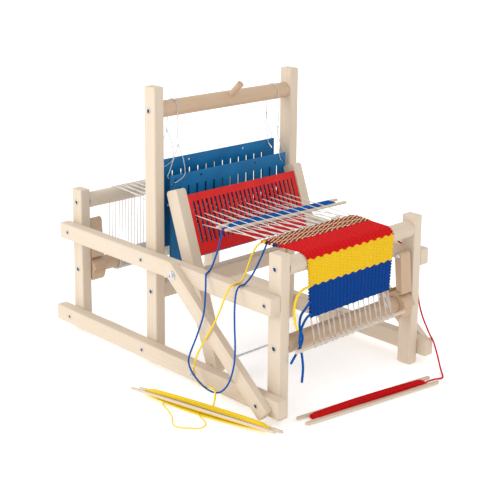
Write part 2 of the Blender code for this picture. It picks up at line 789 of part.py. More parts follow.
def thread_route(index):
    """From the last pick, past the shuttle and the heddles, over the back beam to the warp beam."""
    x = dent_x(index)
    spread_y, upper, lower = SHUTTLE_SPREADS
    front_y, _, front_eye = HEDDLES["front"]
    rear_y, _, rear_eye = HEDDLES["rear"]
    beam_y, beam_z, beam_radius = BACK_BEAM
    wrap = beam_radius + GAP + THREAD_RADIUS
    top = beam_z + wrap
    if index % 2 == 0:
        route = [(x, *FELL), (x, spread_y, upper), (x, rear_y, rear_eye)]
    else:
        rise = (top - front_eye) * (rear_y - front_y) / (beam_y - front_y)
        route = [(x, *FELL), (x, spread_y, lower), (x, front_y, front_eye)]
        route.append((x, rear_y, front_eye + rise))
    x = back_x(index)
    route += [(x, *point) for point in arc((beam_y, beam_z), wrap, 90, 0, 6)]
    route.append((x, WARP_BEAM[0] + WINDING_RADIUS + 2 * GAP + THREAD_RADIUS, WARP_BEAM[1]))
    return route


def build_warp():
    """All the threads with the last pick across them, as one body."""
    left, right = CLOTH_EDGES[0]
    low = (left, FELL[0] - PICK_HALF, FELL[1] - PICK_HALF)
    high = (right, FELL[0] + PICK_HALF, FELL[1] + PICK_HALF)
    pick = box("warp_threads", low, high, "cotton", None, 0)
    routes = [thread_route(index) for index in range(THREADS)]
    threads = as_mesh(tube_curve("warp_runs", routes, THREAD_RADIUS, 0))
    boolean(pick, as_cutter(threads), "UNION")


def cloth_path():
    """The middle of the cloth's thickness, from the last pick over the breast beam to the hem."""
    y, z, radius = BREAST_BEAM
    wrap = radius + GAP + CLOTH_THICK / 2
    top = z + wrap
    flat = [(CLOTH_START + (y - CLOTH_START) * step / 4, top) for step in range(4)]
    bend = arc((y, z), wrap, 90, 180, 8)
    drop = [(y - wrap, z + (CLOTH_HEM - z) * step / 5) for step in range(1, 6)]
    return flat + bend + drop


def build_cloth():
    path = cloth_path()
    columns = 8
    rows = len(path) - 1
    bm = bmesh.new()
    bmesh.ops.create_grid(bm, x_segments=columns, y_segments=rows, size=0.5)
    (left, right), (hem_left, hem_right) = CLOTH_EDGES
    for vertex in bm.verts:
        across = vertex.co.x + 0.5
        row = round((vertex.co.y + 0.5) * rows)
        done = row / rows
        low = left + (hem_left - left) * done
        high = right + (hem_right - right) * done
        vertex.co = (low + (high - low) * across, *path[row])
    cloth = place(smooth(mesh_object("cloth", bm)), (0, 0, 0), None, "woven_cloth")
    thicken = cloth.modifiers.new("Thickness", "SOLIDIFY")
    thicken.thickness = CLOTH_THICK
    thicken.offset = 0
    thicken.use_even_offset = True


def build_hem():
    """Leader threads in one body with the knots under the hem, and the stick they reach."""
    y = BREAST_BEAM[0] - BREAST_BEAM[2] - GAP - CLOTH_THICK / 2
    left, right = CLOTH_EDGES[1]
    top = CLOTH_HEM - GAP
    low = (left, y - PICK_HALF, top - 2 * PICK_HALF)
    knots = box("cloth_leaders", low, (right, y + PICK_HALF, top), "cotton", None, 0)
    stick_y, stick_z, stick_radius = STICK
    routes = []
    for number in range(LEADERS):
        x = left + 0.002 + (right - left - 0.004) * number / (LEADERS - 1)
        routes.append([(x, y, top - PICK_HALF), (x, stick_y, stick_z + stick_radius + 2 * GAP)])
    leaders = as_mesh(tube_curve("leader_runs", routes, LEADER_RADIUS, 0))
    boolean(knots, as_cutter(leaders), "UNION")
    round_bar("cloth_stick", STICK_ENDS, stick_radius, "pine", (0, stick_y, stick_z), None, 16, 0.0005)


# Shuttles and loose yarn ---------------------------------------------------------------------


def shuttle_outline():
    """A flat stick with a square-bottomed notch in each end."""
    end, side = SHUTTLE_LONG / 2, SHUTTLE_WIDE / 2
    bottom, lip = end - NOTCH_DEEP, NOTCH_WIDE / 2
    horn = (side - lip) / 2
    corner = 0.003
    upper_horn = arc((end - horn, side - horn), horn, 90, -90, 6)
    notch_top = arc((bottom + corner, lip - corner), corner, 90, 180, 3)
    upper_right = upper_horn + notch_top
    lower_right = [(x, -y) for x, y in reversed(upper_right)]
    right = upper_right + lower_right
    left = [(-x, y) for x, y in reversed(right)]
    return right + left


def yarn_outlines():
    """The loop of yarn seen from the side: a long ring around the shuttle's middle."""
    inner_end = SHUTTLE_LONG / 2 - NOTCH_DEEP + 0.0012
    inner_half = YARN_HALF_THICK - YARN_WALL
    outer_end = inner_end + 0.003
    low, high = (-outer_end, -YARN_HALF_THICK), (outer_end, YARN_HALF_THICK)
    outer = rounded_rectangle(low, high, 0.003)
    hole = rounded_rectangle((-inner_end, -inner_half), (inner_end, inner_half), 0.0002)
    return [outer, hole]


def build_shuttles():
    for color, (centre, heading, tilt) in SHUTTLES.items():
        stick = plate_curve(f"shuttle_{color}", [shuttle_outline()], SHUTTLE_THICK)
        place(stick, centre, None, "pine")
        stick.rotation_euler = (math.radians(tilt), 0, math.radians(heading))
        yarn = plate_curve(f"yarn_{color}", yarn_outlines(), YARN_WIDE)
        place(yarn, (0, 0, 0), stick, f"{color}_yarn")
        yarn.rotation_euler.x = math.radians(90)


def build_strands():
    routes = {"blue": BLUE_ROUTE, "yellow": YELLOW_ROUTE, "yellow_loop": YELLOW_LOOP, "red": RED_ROUTE}
    for name, route in routes.items():
        points = through(route, STRAND_POINTS)
        strand = tube_curve(f"strand_{name}", [points], STRAND_RADIUS, 2)
        place(strand, (0, 0, 0), None, f"{name.split('_')[0]}_yarn")


build_frame()
build_beater()
build_heddles()
build_roller()
build_beams()
build_warp()
build_cloth()
build_hem()
build_shuttles()
build_strands()
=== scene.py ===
import math

import bmesh
import bpy
import numpy as np
from mathutils import Matrix, Vector


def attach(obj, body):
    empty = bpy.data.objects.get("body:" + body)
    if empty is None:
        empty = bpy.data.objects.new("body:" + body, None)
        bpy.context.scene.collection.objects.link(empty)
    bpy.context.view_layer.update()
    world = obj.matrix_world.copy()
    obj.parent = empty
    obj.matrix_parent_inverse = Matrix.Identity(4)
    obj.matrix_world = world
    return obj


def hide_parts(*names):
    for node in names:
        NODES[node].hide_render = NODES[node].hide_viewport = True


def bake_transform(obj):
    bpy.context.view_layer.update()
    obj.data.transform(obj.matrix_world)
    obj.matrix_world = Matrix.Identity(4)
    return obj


# Looks of the toy table loom, in metres, +Z up and +Y to the back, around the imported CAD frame.

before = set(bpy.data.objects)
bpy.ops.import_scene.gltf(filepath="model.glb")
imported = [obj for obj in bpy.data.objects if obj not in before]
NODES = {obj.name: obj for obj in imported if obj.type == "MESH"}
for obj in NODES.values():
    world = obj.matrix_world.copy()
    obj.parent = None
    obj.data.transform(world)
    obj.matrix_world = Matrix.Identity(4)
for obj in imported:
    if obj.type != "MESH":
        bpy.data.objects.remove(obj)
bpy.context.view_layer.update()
SIDES = (("left", -1), ("right", 1))

# Dimensions shared with the CAD model -------------------------------------------------------

GAP = 0.0003
POST_Y = {"front": -0.261, "tall": 0.039, "back": 0.253}
POST_FACE = 0.170
RAIL_FACE = 0.1915
BRACE_FACE = 0.2045
RAIL_HEIGHTS = (0.0295, 0.1915)
BRACE_FOOT = (-0.258, 0.0317)
BRACE_HEAD = (-0.0593, 0.1916)
BRACE_SLOPE = math.atan2(BRACE_HEAD[1] - BRACE_FOOT[1], BRACE_HEAD[0] - BRACE_FOOT[0])
BAR_HALF = 0.1497
BACK_BEAM = (0.253, 0.2445, 0.0143)  # y, z and radius, as for every bar
BREAST_BEAM = (-0.261, 0.2445, 0.0143)
WARP_BEAM = (0.253, 0.1165, 0.014)
CLOTH_BEAM = (-0.261, 0.1165, 0.014)
ROLLER = (0.041, 0.445, 0.0142)
PIVOT = (-0.094, 0.0294)
BEATER_LEAN = 20.0

DENT = 0.00975
DENTS = 25
THREADS = 23
THREAD_RADIUS = 0.0007
THREAD_LOOKS = 0.00085  # a little fuller than in the CAD, as fibres stand off the thread
FELL = (-0.178, 0.2603)  # y and height of the last pick
SHUTTLE_SPREADS = (-0.108, 0.2644, 0.2550)  # y, and the height of the upper and of the lower threads
BACK_SPAN = (-0.084, 0.080)
HEDDLES = {"front": (0.02575, 0.175, 0.248), "rear": (0.05625, 0.197, 0.270)}  # y, bottom, eyes
HEDDLE_TALL = 0.156
CORD_X = 0.119
CORD_ARC = 0.01525
CORD_FORK = 0.051
CORD_RADIUS = 0.0007
HOOK = (0.130, 0.013)
LOWER_SCREW = (0.039, 0.130)

CLOTH_HEM = 0.155
CLOTH_START = -0.1796
CLOTH_THICK = 0.003
CLOTH_EDGES = ((-0.119, 0.098), (-0.107, 0.083))
STICK = (-0.288, 0.1126, 0.003)
STICK_ENDS = (-0.148, 0.113)
LEADERS = 16
WINDING_RADIUS = 0.019

SHUTTLE_LONG, SHUTTLE_THICK, NOTCH_DEEP = 0.280, 0.0036, 0.025
YARN_HALF_THICK = 0.0035
SHUTTLES = {  # centre, then heading and tilt in degrees
    "blue": ((0.0185, -0.0925, 0.2597), -3.12, 0.0),
    "yellow": ((-0.2345, -0.1733, 0.0068), -77.5, -20.0),
    "red": ((-0.0105, -0.324, YARN_HALF_THICK), -9.0, 0.0),
}
STRAND_RADIUS = 0.0014
TAIL_RADIUS = 0.0019
LOOP_RADIUS = 0.0010
BLUE_ROUTE = (
    (-0.1055, -0.0860, 0.2597), (-0.1200, -0.0880, 0.2585), (-0.1330, -0.0980, 0.2500),
    (-0.1480, -0.1080, 0.2360), (-0.1610, -0.1130, 0.2200), (-0.1710, -0.1160, 0.2090),
    (-0.1810, -0.1210, 0.2078), (-0.1915, -0.1280, 0.2080), (-0.2000, -0.1370, 0.2020),
    (-0.2080, -0.1450, 0.1800), (-0.2110, -0.1440, 0.1500), (-0.2120, -0.1300, 0.1120),
    (-0.2125, -0.1130, 0.0750), (-0.2125, -0.1100, 0.0570), (-0.2125, -0.1230, 0.0410),
    (-0.2125, -0.1490, 0.0290), (-0.2125, -0.1730, 0.0280), (-0.2125, -0.1910, 0.0370),
    (-0.2125, -0.2060, 0.0560), (-0.2120, -0.2160, 0.0850), (-0.2120, -0.2190, 0.1150),
    (-0.2115, -0.2170, 0.1500), (-0.2090, -0.2140, 0.1800), (-0.2020, -0.2100, 0.2020),
    (-0.1915, -0.2060, 0.2086), (-0.1780, -0.2040, 0.2088), (-0.1640, -0.2050, 0.2200),
    (-0.1490, -0.2030, 0.2350), (-0.1340, -0.1980, 0.2480), (-0.1212, -0.1930, 0.2588),
)
YELLOW_ROUTE = (
    (-0.1212, -0.1830, 0.2600), (-0.1310, -0.1810, 0.2550), (-0.1440, -0.1830, 0.2430),
    (-0.1560, -0.1870, 0.2280), (-0.1680, -0.1900, 0.2130), (-0.1780, -0.1910, 0.2078),
    (-0.1905, -0.1920, 0.2080), (-0.1995, -0.1910, 0.2030), (-0.2050, -0.1860, 0.1860),
    (-0.2070, -0.1760, 0.1600), (-0.2075, -0.1620, 0.1350), (-0.2075, -0.1445, 0.1080),
    (-0.2075, -0.1258, 0.0775), (-0.2075, -0.1175, 0.0551), (-0.2075, -0.1184, 0.0396),
    (-0.2075, -0.1250, 0.0290), (-0.2078, -0.1400, 0.0262), (-0.2100, -0.1560, 0.0310),
    (-0.2160, -0.1740, 0.0350), (-0.2205, -0.1830, 0.0300), (-0.2250, -0.1855, 0.0190),
    (-0.2290, -0.1845, 0.0107),
)
YELLOW_LOOP = (  # slack that slips out from under the yellow shuttle's raised side
    (-0.2580, -0.1010, 0.0030), (-0.2646, -0.1079, 0.0013), (-0.2722, -0.1300, 0.0011),
    (-0.2817, -0.1501, 0.0011), (-0.2950, -0.1680, 0.0011), (-0.2985, -0.1790, 0.0011),
    (-0.2930, -0.1905, 0.0011), (-0.2847, -0.1995, 0.0011), (-0.2750, -0.2090, 0.0011),
    (-0.2620, -0.2070, 0.0011), (-0.2530, -0.1937, 0.0011), (-0.2490, -0.1790, 0.0013),
    (-0.2430, -0.1700, 0.0030),
)
RED_ROUTE = (
    (0.0997, -0.2120, 0.2600), (0.1080, -0.2180, 0.2540), (0.1240, -0.2280, 0.2400),
    (0.1420, -0.2350, 0.2250), (0.1580, -0.2390, 0.2130), (0.1700, -0.2400, 0.2080),
    (0.1810, -0.2410, 0.2073), (0.1915, -0.2430, 0.2070), (0.1970, -0.2460, 0.1950),
    (0.1975, -0.2490, 0.1600), (0.1960, -0.2510, 0.1250), (0.1945, -0.2570, 0.0980),
    (0.1925, -0.2670, 0.0770), (0.1905, -0.2790, 0.0600), (0.1888, -0.2890, 0.0480),
    (0.1860, -0.2985, 0.0400), (0.1790, -0.3130, 0.0220), (0.1680, -0.3290, 0.0060),
    (0.1580, -0.3410, 0.0013), (0.1490, -0.3480, 0.0012), (0.1400, -0.3480, 0.0020),
    (0.1280, -0.3458, 0.0034), (0.1115, -0.3433, 0.0035),
)
TAILS = {
    "blue_upper": (
        (-0.1085, -0.2785, 0.1830), (-0.1190, -0.2800, 0.1760), (-0.1310, -0.2800, 0.1650),
        (-0.1340, -0.2810, 0.1470), (-0.1275, -0.2815, 0.1290), (-0.1330, -0.2815, 0.1150),
        (-0.1440, -0.2815, 0.1030), (-0.1530, -0.2815, 0.0930),
    ),
    "blue_lower": (
        (-0.1065, -0.2790, 0.1620), (-0.1200, -0.2815, 0.1590), (-0.1330, -0.2835, 0.1450),
        (-0.1370, -0.2845, 0.1250), (-0.1320, -0.2850, 0.1020), (-0.1290, -0.2850, 0.0800),
        (-0.1310, -0.2850, 0.0570),
    ),
    "yellow": (
        (-0.1125, -0.2790, 0.2080), (-0.1300, -0.2830, 0.2085), (-0.1450, -0.2845, 0.2010),
        (-0.1510, -0.2850, 0.1830), (-0.1490, -0.2850, 0.1630), (-0.1440, -0.2850, 0.1470),
    ),
}


# Camera, light and floor --------------------------------------------------------------------


CAMERA_PLACE = (-1.35014, -1.44312, 0.81181)
CAMERA_TURN, CAMERA_TILT, CAMERA_ROLL = -44.67, 77.69, 0.755
CAMERA_LENS = 83.28
CAMERA_SHIFT = (-0.04224, -0.2222)
LAMP_PLACE, LAMP_TARGET = (-2.6, 0.9, 1.6), (0, 0, 0.15)
LAMP_SIZE, LAMP_ENERGY = 1.6, 30
FLOOR_REACH = 16.0
FLOOR_DROP = 0.0004


def new_object(name, data):
    obj = bpy.data.objects.new(name, data)
    bpy.context.scene.collection.objects.link(obj)
    return obj


def rotation(angle, axis):
    return Matrix.Rotation(math.radians(angle), 4, axis)


def build_camera():
    data = bpy.data.cameras.new("camera")
    data.sensor_width = 36
    data.lens = CAMERA_LENS
    data.shift_x, data.shift_y = CAMERA_SHIFT
    camera = new_object("camera", data)
    turned = rotation(CAMERA_TURN, "Z") @ rotation(CAMERA_TILT, "X") @ rotation(CAMERA_ROLL, "Z")
    camera.matrix_world = Matrix.Translation(CAMERA_PLACE) @ turned
    bpy.context.scene.camera = camera


def build_light():
    """A white surround for soft light, and one large lamp from the loom's left."""
    scene = bpy.context.scene
    scene.view_settings.view_transform = "Standard"
    world = bpy.data.worlds.new("studio")
    world.use_nodes = True
    background = world.node_tree.nodes["Background"]
    background.inputs["Color"].default_value = (1.0, 1.0, 1.0, 1.0)
    background.inputs["Strength"].default_value = 1.0
    scene.world = world
    data = bpy.data.lights.new("key", "AREA")
    data.shape = "DISK"
    data.size = LAMP_SIZE
    data.energy = LAMP_ENERGY
    lamp = new_object("key", data)
    lamp.location = LAMP_PLACE
    aim = Vector(LAMP_TARGET) - Vector(LAMP_PLACE)
    lamp.rotation_euler = aim.to_track_quat("-Z", "Y").to_euler()


def build_floor():
    """A pale floor a hair under the feet; its faint glow keeps it as light as the surround."""
    mesh = bpy.data.meshes.new("floor")
    reach = FLOOR_REACH
    corners = [(-reach, -reach, 0), (reach, -reach, 0), (reach, reach, 0), (-reach, reach, 0)]
    mesh.from_pydata(corners, [], [(0, 1, 2, 3)])
    floor = new_object("floor", mesh)
    floor.location.z = -FLOOR_DROP
    material, tree, shader = start_material("floor")
    white = (1.0, 1.0, 1.0, 1.0)
    feed(tree, shader, {"Base Color": (0.94, 0.94, 0.94, 1.0), "Roughness": 0.9})
    feed(tree, shader, {"Specular IOR Level": 0.1, "Emission Color": white, "Emission Strength": 0.30})
    mesh.materials.append(material)


# Materials ----------------------------------------------------------------------------------


def feed(tree, node, inputs):
    """Sets a node's inputs by name or number; a value that is a socket is linked."""
    for name, value in inputs.items():
        if isinstance(value, bpy.types.NodeSocket):
            tree.links.new(value, node.inputs[name])
        else:
            node.inputs[name].default_value = value


def add(tree, kind, inputs=None, **settings):
    made = tree.nodes.new("ShaderNode" + kind)
    for name, value in settings.items():
        setattr(made, name, value)
    feed(tree, made, inputs or {})
    return made


def ramp(tree, value, stops):
    """A colour ramp through (position, colour) stops."""
    made = add(tree, "ValToRGB", {"Fac": value})
    elements = made.color_ramp.elements
    while len(elements) < len(stops):
        elements.new(0.5)
    for element, (position, color) in zip(elements, stops):
        element.position = position
        element.color = (*color, 1.0)
    return made.outputs["Color"]


def calculate(tree, operation, *values):
    return add(tree, "Math", dict(enumerate(values)), operation=operation).outputs[0]


def blend(tree, *parts, base=0.0):
    """The sum of (socket, weight) parts over a base."""
    total = base
    for value, weight in parts:
        total = calculate(tree, "MULTIPLY_ADD", value, weight, total)
    return total


def noise(tree, vector, scale, detail=2.0):
    made = add(tree, "TexNoise", {"Vector": vector, "Scale": scale, "Detail": detail})
    return made.outputs["Fac"]


def start_material(name):
    material = bpy.data.materials.new(name)
    material.use_nodes = True
    tree = material.node_tree
    return material, tree, tree.nodes["Principled BSDF"]


def bump(tree, height, strength, distance):
    made = add(tree, "Bump", {"Height": height, "Strength": strength, "Distance": distance})
    return made.outputs["Normal"]


# light, middle and dark tones of each wood
BIRCH = ((0.70, 0.60, 0.485), (0.625, 0.515, 0.395), (0.48, 0.35, 0.235))
BEECH = ((0.60, 0.44, 0.305), (0.52, 0.365, 0.24), (0.40, 0.25, 0.145))


RING_SCALE = 0.314  # the wave texture's scale for rings one metre apart


def wood(name, turn=(0.0, 0.0, 0.0), offset=(0.9, -0.4, 0.0), ring=0.0034, tones=BIRCH):
    """Wood with its grain along local Z after the turn: rings, long fibres and slow changes of tone."""
    material, tree, shader = start_material(name)
    where = add(tree, "TexCoord").outputs["Object"]
    turned = add(tree, "Mapping", {"Vector": where, "Rotation": turn}).outputs[0]
    shifted = add(tree, "Mapping", {"Vector": turned, "Location": offset, "Scale": (1, 1, 0.12)})
    wave = add(tree, "TexWave", wave_type="RINGS", rings_direction="Z", wave_profile="SAW")
    feed(tree, wave, {"Vector": shifted.outputs[0], "Scale": RING_SCALE / ring})
    feed(tree, wave, {"Distortion": 3.5, "Detail": 2.0, "Detail Scale": 0.22})
    streaks = add(tree, "Mapping", {"Vector": turned, "Scale": (1, 1, 0.025)}).outputs[0]
    fibre = noise(tree, streaks, 900.0, 4.0)
    pores = noise(tree, streaks, 2600.0, 2.0)
    broad = noise(tree, shifted.outputs[0], 22.0, 2.0)
    tone = blend(tree, (wave.outputs["Fac"], 0.15), (fibre, 0.42), (broad, 0.40), (pores, 0.16))
    color = ramp(tree, tone, tuple(zip((0.28, 0.66, 1.0), tones)))
    rough = blend(tree, (fibre, 0.22), base=0.44)
    relief = bump(tree, calculate(tree, "ADD", fibre, pores), 0.25, 0.00012)
    feed(tree, shader, {"Base Color": color, "Roughness": rough, "Normal": relief})
    feed(tree, shader, {"Specular IOR Level": 0.35})
    return material


def plastic(name, color, shade):
    """Moulded plastic with a fine skin, uneven in tone and gloss, and with painted shade on every face
    turned towards ±X, such as its slots' inner sides.
    """
    material, tree, shader = start_material(name)
    where = add(tree, "TexCoord").outputs["Object"]
    cloud = noise(tree, where, 30.0)
    skin = noise(tree, where, 1400.0, 3.0)
    plain = ramp(tree, cloud, ((0.3, shade), (0.7, color)))
    # Painted shade: faces turned towards ±X, the slots' inner sides and the pieces' side edges, are
    # darkened to about a fifth of their colour.
    facing = add(tree, "SeparateXYZ", {"Vector": add(tree, "NewGeometry").outputs["Normal"]})
    painted_shade_mask = calculate(tree, "ABSOLUTE", facing.outputs["X"])
    painted_wall_shade = ramp(tree, painted_shade_mask, ((0.55, (1.0, 1.0, 1.0)), (0.85, (0.22, 0.22, 0.24))))
    shaded = add(tree, "VectorMath", {0: plain, 1: painted_wall_shade}, operation="MULTIPLY").outputs[0]
    rough = blend(tree, (skin, 0.18), base=0.34)
    relief = bump(tree, skin, 0.18, 0.0001)
    feed(tree, shader, {"Base Color": shaded, "Roughness": rough, "Normal": relief})
    feed(tree, shader, {"Specular IOR Level": 0.24})
    return material


def steel(name, stained, bright):
    """Plated steel, with fine scatter and slow stains between two tones."""
    material, tree, shader = start_material(name)
    where = add(tree, "TexCoord").outputs["Object"]
    fine = noise(tree, where, 2200.0, 2.0)
    stain = noise(tree, where, 260.0, 2.0)
    color = ramp(tree, stain, ((0.3, stained), (0.7, bright)))
    rough = blend(tree, (fine, 0.25), base=0.18)
    relief = bump(tree, fine, 0.12, 0.00005)
    feed(tree, shader, {"Base Color": color, "Roughness": rough, "Normal": relief, "Metallic": 1.0})
    return material


def yarn(name, light, dark, ply=0.0032):
    """Twisted yarn: plies wind along the UV map's length, with loose fibres over them, and painted shade
    darkens the dips between the plies.
    """
    material, tree, shader = start_material(name)
    place = add(tree, "TexCoord")
    along, around, _ = add(tree, "SeparateXYZ", {"Vector": place.outputs["UV"]}).outputs
    phase = blend(tree, (around, 2.0), (along, 1.0 / ply))
    wave = calculate(tree, "SINE", calculate(tree, "MULTIPLY", phase, 2 * math.pi))
    ply_relief_and_shade = blend(tree, (wave, 0.5), base=0.5)
    fibre = noise(tree, place.outputs["Object"], 2400.0, 3.0)
    tuft = noise(tree, place.outputs["Object"], 330.0, 2.0)
    # The colour mixes random fibre and tuft tones with the ply twist, whose dips between plies are painted
    # darker as shade.
    tone = blend(tree, (fibre, 0.42), (ply_relief_and_shade, 0.36), (tuft, 0.34))
    color = ramp(tree, tone, ((0.25, dark), (0.72, light)))
    rough = blend(tree, (fibre, 0.15), base=0.82)
    relief = bump(tree, blend(tree, (fibre, 0.5), base=ply_relief_and_shade), 0.5, 0.0003)
    feed(tree, shader, {"Base Color": color, "Roughness": rough, "Normal": relief})
    feed(tree, shader, {"Specular IOR Level": 0.08, "Sheen Weight": 0.03, "Sheen Roughness": 0.5})
    return material


QUARTER = math.radians(90)
LEAN = math.radians(BEATER_LEAN)
WOODS = {
    "x": wood("birch_x", (0.0, QUARTER, 0.0), (0.7, 0.5, 0.3)),
    "y": wood("birch_y", (QUARTER, 0.0, 0.0), (-0.5, 0.8, 0.1)),
    "z": wood("birch_z", (0.0, 0.0, 0.0), (0.9, -0.4, 0.0)),
    "arm": wood("birch_arm", (LEAN, 0.0, 0.0), (0.6, 0.7, 0.2)),
    "brace": wood("birch_brace", (QUARTER - BRACE_SLOPE, 0.0, 0.0), (-0.8, 0.3, 0.5)),
    "dowel": wood("beech_dowel", (0.0, QUARTER, 0.0), (0.31, 0.2, 0.7), 0.0026, BEECH),
    "pale_dowel": wood("birch_dowel", (0.0, QUARTER, 0.0), (0.25, 0.4, 0.1), 0.0028),
    "peg": wood("beech_peg", (0.0, 0.0, 0.0), (0.4, 0.3, 0.0), 0.0026, BEECH),
    "wheel": wood("beech_wheel", (0.0, QUARTER, 0.0), (0.06, 0.05, 0.2), 0.0024, BEECH),
    "stick": wood("birch_stick", (QUARTER, 0.0, 0.25), (0.4, 0.6, 0.9), 0.0022),
}
RED_PLASTIC = plastic("red_plastic", (0.70, 0.012, 0.010), (0.58, 0.008, 0.007))
BLUE_PLASTIC = plastic("blue_plastic", (0.002, 0.165, 0.40), (0.001, 0.13, 0.33))
STEEL = steel("steel", (0.52, 0.56, 0.60), (0.78, 0.79, 0.80))
# Near-black steel, painted on the screws' recesses as the shade that falls in them.
SHADE_STEEL = steel("shade_steel", (0.03, 0.03, 0.035), (0.09, 0.09, 0.10))
COTTON = yarn("cotton", (0.80, 0.78, 0.75), (0.52, 0.50, 0.47), 0.0016)
CORD = yarn("white_cord", (0.72, 0.72, 0.71), (0.45, 0.45, 0.44), 0.0022)
YARNS = {
    "red": yarn("red_yarn", (0.72, 0.008, 0.010), (0.36, 0.002, 0.004)),
    "blue": yarn("blue_yarn", (0.001, 0.060, 0.30), (0.001, 0.016, 0.10)),
    "yellow": yarn("yellow_yarn", (0.88, 0.58, 0.022), (0.62, 0.34, 0.006)),
    "dark": yarn("dark_yarn", (0.030, 0.035, 0.060), (0.008, 0.009, 0.018)),
    "cream": yarn("cream_yarn", (0.82, 0.76, 0.58), (0.58, 0.50, 0.33)),
    "orange": yarn("orange_yarn", (0.80, 0.17, 0.035), (0.48, 0.05, 0.01)),
}
BRIGHT_YARNS = {
    "red": YARNS["red"],
    "blue": yarn("royal_yarn", (0.002, 0.115, 0.45), (0.001, 0.040, 0.22)),
    "yellow": yarn("lemon_yarn", (0.93, 0.70, 0.045), (0.80, 0.50, 0.018)),
}


# Shape building -----------------------------------------------------------------------------


class Shape:
    """Points and faces gathered into one mesh, with a UV map and a material number per face."""

    def __init__(self):
        self.points = []
        self.faces = []
        self.uvs = []
        self.marks = []

    def face(self, corners, uvs, mark=0):
        self.faces.append(corners)
        self.uvs.extend(uvs)
        self.marks.append(mark)

    def tube(self, path, radius, sides=8, plies=0, pitch=0.006, mark=0, depth=0.2):
        """A round yarn along a path; plies above 0 give it that many twisted strands."""
        path = [Vector(p) for p in path]
        radii = radius if isinstance(radius, (list, tuple)) else [radius] * len(path)
        tangents = [(b - a).normalized() for a, b in zip(path, path[1:])]
        tangents = [tangents[0], *tangents]
        normal = tangents[0].orthogonal().normalized()
        base = len(self.points)
        travelled = 0.0
        lengths = []
        for index, point in enumerate(path):
            if index:
                travelled += (point - path[index - 1]).length
            following = tangents[min(index + 1, len(tangents) - 1)]
            tangent = (tangents[index] + following).normalized()
            normal = (normal - tangent * normal.dot(tangent)).normalized()
            across = tangent.cross(normal)
            lengths.append(travelled)
            for side in range(sides):
                angle = 2 * math.pi * side / sides
                reach = radii[index]
                if plies:
                    turned = plies * (angle / 2 - math.pi * travelled / pitch)
                    reach *= 1 - depth + depth * abs(math.cos(turned))
                offset = normal * math.cos(angle) + across * math.sin(angle)
                self.points.append(point + offset * reach)
        for ring in range(len(path) - 1):
            low, high = base + ring * sides, base + (ring + 1) * sides
            for side in range(sides):
                beside = (side + 1) % sides
                left, right = side / sides, (side + 1) / sides
                uvs = (
                    (lengths[ring], left),
                    (lengths[ring], right),
                    (lengths[ring + 1], right),
                    (lengths[ring + 1], left),
                )
                corners = (low + side, low + beside, high + beside, high + side)
                self.face(corners, uvs, mark)
        first = tuple(base + side for side in reversed(range(sides)))
        last = tuple(base + (len(path) - 1) * sides + side for side in range(sides))
        self.face(first, [(0.0, side / sides) for side in range(sides)], mark)
        self.face(last, [(travelled, side / sides) for side in range(sides)], mark)

    def ball(self, centre, size, mark=0, rings=6, sides=10):
        """A squashed ball with half sizes along X, Y and Z."""
        path = []
        radii = []
        for ring in range(rings + 1):
            angle = math.pi * (ring + 0.25) / (rings + 0.5) - math.pi / 2
            path.append(Vector(centre) + Vector((size[0] * math.sin(angle), 0, 0)))
            radii.append(size[1] * math.cos(angle))
        self.tube(path, radii, sides, mark=mark)

    def build(self, name, materials, smooth=True):
        mesh = bpy.data.meshes.new(name)
        mesh.from_pydata([tuple(p) for p in self.points], [], self.faces)
        layer = mesh.uv_layers.new(name="UVMap")
        layer.data.foreach_set("uv", np.array(self.uvs, np.float32).ravel())
        for material in materials:
            mesh.materials.append(material)
        mesh.polygons.foreach_set("material_index", np.array(self.marks, np.int32))
        if smooth:
            mesh.shade_smooth()
        mesh.validate()
        mesh.update()
        return new_object(name, mesh)


SPLINE_STEPS = 20


def smooth_curve(points):
    """Closely set points on the smooth curve through a route."""
    dense = []
    padded = [points[0], *points, points[-1]]
    for before, start, end, after in zip(padded, padded[1:], padded[2:], padded[3:]):
        a, b, c, d = (Vector(p) for p in (before, start, end, after))
        for step in range(SPLINE_STEPS):
            t = step / SPLINE_STEPS
            bend = (2 * a - 5 * b + 4 * c - d) * t * t + (3 * b - a - 3 * c + d) * t * t * t
            dense.append(b + ((c - a) * t + bend) / 2)
    dense.append(Vector(points[-1]))
    return dense


def through(points, count):
    """Evenly spaced points on the smooth curve through a route."""
    dense = smooth_curve(points)
    lengths = [0.0]
    for first, second in zip(dense, dense[1:]):
        lengths.append(lengths[-1] + (second - first).length)
    result = []
    index = 0
    for step in range(count):
        wanted = lengths[-1] * step / (count - 1)
        while index < len(dense) - 2 and lengths[index + 1] < wanted:
            index += 1
        span = lengths[index + 1] - lengths[index]
        result.append(dense[index].lerp(dense[index + 1], (wanted - lengths[index]) / span))
    return result


def route_length(points):
    return sum((b - a).length for a, b in zip(points, points[1:]))


def arc(centre, radius, start, end, steps):
    """Points on an arc, with angles in degrees."""
    points = []
    for step in range(steps + 1):
        angle = math.radians(start + (end - start) * step / steps)
        points.append((centre[0] + radius * math.cos(angle), centre[1] + radius * math.sin(angle)))
    return points


def finish_piece(obj, body, slot, *nodes):
    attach(obj, body)
    if nodes:
        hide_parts(*nodes)
    return obj


# Loose yarn ---------------------------------------------------------------------------------

YARN_STEP = 0.0009
YARN_FLUFF = 1.1  # how far the plies stand out beyond the yarn's mean radius
YARN_PITCH = 0.009


def yarn_mesh(name, points, color, radius):
    """A three-ply yarn through points, kept on or over the floor, and its centreline."""
    length = route_length(points)
    path = [Vector((p.x, p.y, max(p.z, radius))) for p in through(points, int(length / YARN_STEP))]
    shape = Shape()
    shape.tube(path, radius * YARN_FLUFF, 12, 3, YARN_PITCH)
    return shape.build(name, [BRIGHT_YARNS[color]]), path


def declare_cord(obj, path, radius, **facts):
    every = path[:: max(1, len(path) // 60)]
    if every[-1] != path[-1]:
        every.append(path[-1])


